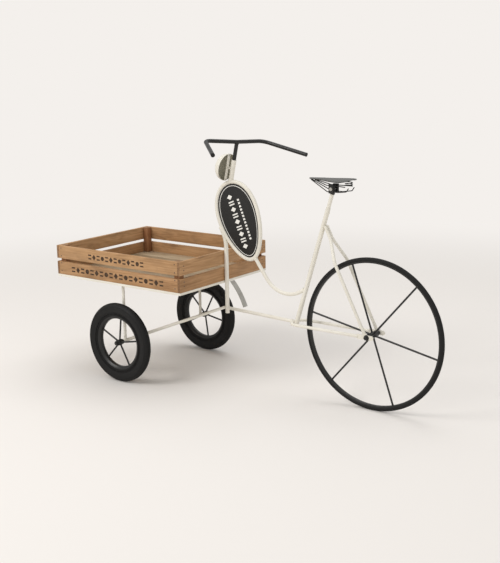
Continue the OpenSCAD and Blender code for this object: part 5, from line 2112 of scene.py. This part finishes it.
@dataclass
class Studio:
    """The pale floor, the soft lights and the camera."""

    backdrop: Colour = linear("f4f0ec")
    floor_albedo: float = 0.83
    floor_half: float = 60.0
    fade_from: float = 1.5
    fade_to: float = 3.4
    floor_roughness: float = 0.9
    floor_specular: float = 0.1
    ambient: float = 0.58
    ambient_colour: Colour = (1.0, 0.985, 0.965)
    lights: tuple[SoftLight, ...] = (
        SoftLight("key", (-1.9, -3.6, 3.6), 2.4, 112.0, (1.0, 0.985, 0.96)),
        SoftLight("fill", (4.2, -2.6, 2.4), 3.2, 26.0, (0.97, 0.985, 1.0)),
        SoftLight("top", (0.0, 1.2, 4.4), 3.4, 62.0, (1.0, 1.0, 1.0)),
    )
    light_target: tuple[float, float, float] = (0.0, 0.0, 0.4)
    camera_place: tuple[float, float, float] = (1.9465, -2.5939, 1.0872)
    camera_azimuth: float = 37.155
    camera_elevation: float = 12.759
    camera_roll: float = -1.0
    lens: float = 73.03
    sensor: float = 36.0

    def build(self) -> None:
        """Build the studio."""
        self.floor()
        self.world()
        for light in self.lights:
            self.shine(light)
        self.camera()
        bpy.context.scene.view_settings.view_transform = "Standard"

    def floor(self) -> None:
        """Build a pale floor that fades into the backdrop's colour far from the object."""
        mesh = bpy.data.meshes.new("floor")
        bm = bmesh.new()
        bmesh.ops.create_circle(bm, cap_ends=True, radius=self.floor_half, segments=64)
        bm.to_mesh(mesh)
        bm.free()
        floor = bpy.data.objects.new("floor", mesh)
        show(floor)
        graph = Graph("pale_floor")
        place = graph.place((1, 1, 1))
        distance = graph.node("VectorMath", operation="LENGTH")
        graph.join(place, distance.inputs[0])
        fade = graph.node("MapRange", interpolation_type="SMOOTHSTEP")
        graph.join(distance.outputs["Value"], fade.inputs["Value"])
        fade.inputs["From Min"].default_value = self.fade_from
        fade.inputs["From Max"].default_value = self.fade_to
        glow = graph.node("Emission")
        glow.inputs["Color"].default_value = (*self.backdrop, 1.0)
        blend = graph.node("MixShader")
        graph.join(fade.outputs["Result"], blend.inputs[0])
        graph.join(graph.shader.outputs[0], blend.inputs[1])
        graph.join(glow.outputs[0], blend.inputs[2])
        graph.join(blend.outputs[0], graph.tree.nodes["Material Output"].inputs["Surface"])
        shade = [self.floor_albedo * part / max(self.backdrop) for part in self.backdrop]
        graph.shader.inputs["Base Color"].default_value = (*shade, 1.0)
        graph.shader.inputs["Roughness"].default_value = self.floor_roughness
        graph.shader.inputs["Specular IOR Level"].default_value = self.floor_specular
        mesh.materials.append(graph.material)

    def world(self) -> None:
        """Set the backdrop and the light that comes from all round."""
        world = bpy.data.worlds.new("studio")
        bpy.context.scene.world = world
        world.use_nodes = True
        tree = world.node_tree
        seen = tree.nodes["Background"]
        seen.inputs["Color"].default_value = (*self.backdrop, 1.0)
        soft = tree.nodes.new("ShaderNodeBackground")
        soft.inputs["Color"].default_value = (*self.ambient_colour, 1.0)
        soft.inputs["Strength"].default_value = self.ambient
        path = tree.nodes.new("ShaderNodeLightPath")
        blend = tree.nodes.new("ShaderNodeMixShader")
        tree.links.new(path.outputs["Is Camera Ray"], blend.inputs[0])
        tree.links.new(soft.outputs[0], blend.inputs[1])
        tree.links.new(seen.outputs[0], blend.inputs[2])
        tree.links.new(blend.outputs[0], tree.nodes["World Output"].inputs["Surface"])

    def shine(self, light: SoftLight) -> None:
        """Add a light that points at the tricycle."""
        data = bpy.data.lights.new(light.name, "AREA")
        data.shape = "SQUARE"
        data.size = light.size
        data.energy = light.power
        data.color = light.colour
        made = bpy.data.objects.new(light.name, data)
        made.location = light.place
        aimed = Vector(self.light_target) - Vector(light.place)
        made.rotation_euler = aimed.to_track_quat("-Z", "Y").to_euler()
        show(made)

    def camera(self) -> None:
        """Add the camera."""
        turn = math.radians(self.camera_azimuth)
        lift = math.radians(self.camera_elevation)
        roll = math.radians(self.camera_roll)
        back = Vector((math.sin(turn) * math.cos(lift), -math.cos(turn) * math.cos(lift),
                       math.sin(lift)))
        right = Vector((math.cos(turn), math.sin(turn), 0))
        up = back.cross(right)
        side = right * math.cos(roll) + up * math.sin(roll)
        top = up * math.cos(roll) - right * math.sin(roll)
        data = bpy.data.cameras.new("camera")
        data.lens = self.lens
        data.sensor_fit = "HORIZONTAL"
        data.sensor_width = self.sensor
        made = bpy.data.objects.new("camera", data)
        made.matrix_world = Matrix.Translation(Vector(self.camera_place)) @ Matrix(
            (side, top, back)).transposed().to_4x4()
        show(made)
        bpy.context.scene.camera = made


def main() -> None:
    """Load the frame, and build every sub-assembly on it."""
    logging.basicConfig(level=logging.INFO, format="%(message)s")
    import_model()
    at = Layout()
    paints = Paintbox()
    assemblies = [
        FrameTubes(at, paints), FrontCarriage(at, paints), Crate(at, paints),
        Sign(at, paints), Steering(at, paints), SaddleUnit(at, paints),
        RearWheel(at, paints), FrontWheel(at, paints, side=Side.LEFT, phase=11.0),
        FrontWheel(at, paints, side=Side.RIGHT, phase=-10.0),
    ]
    for assembly in assemblies:
        assembly.build()
        LOG.info("%s done", type(assembly).__name__)
    Studio().build()


if __name__ == "__main__":
    main()
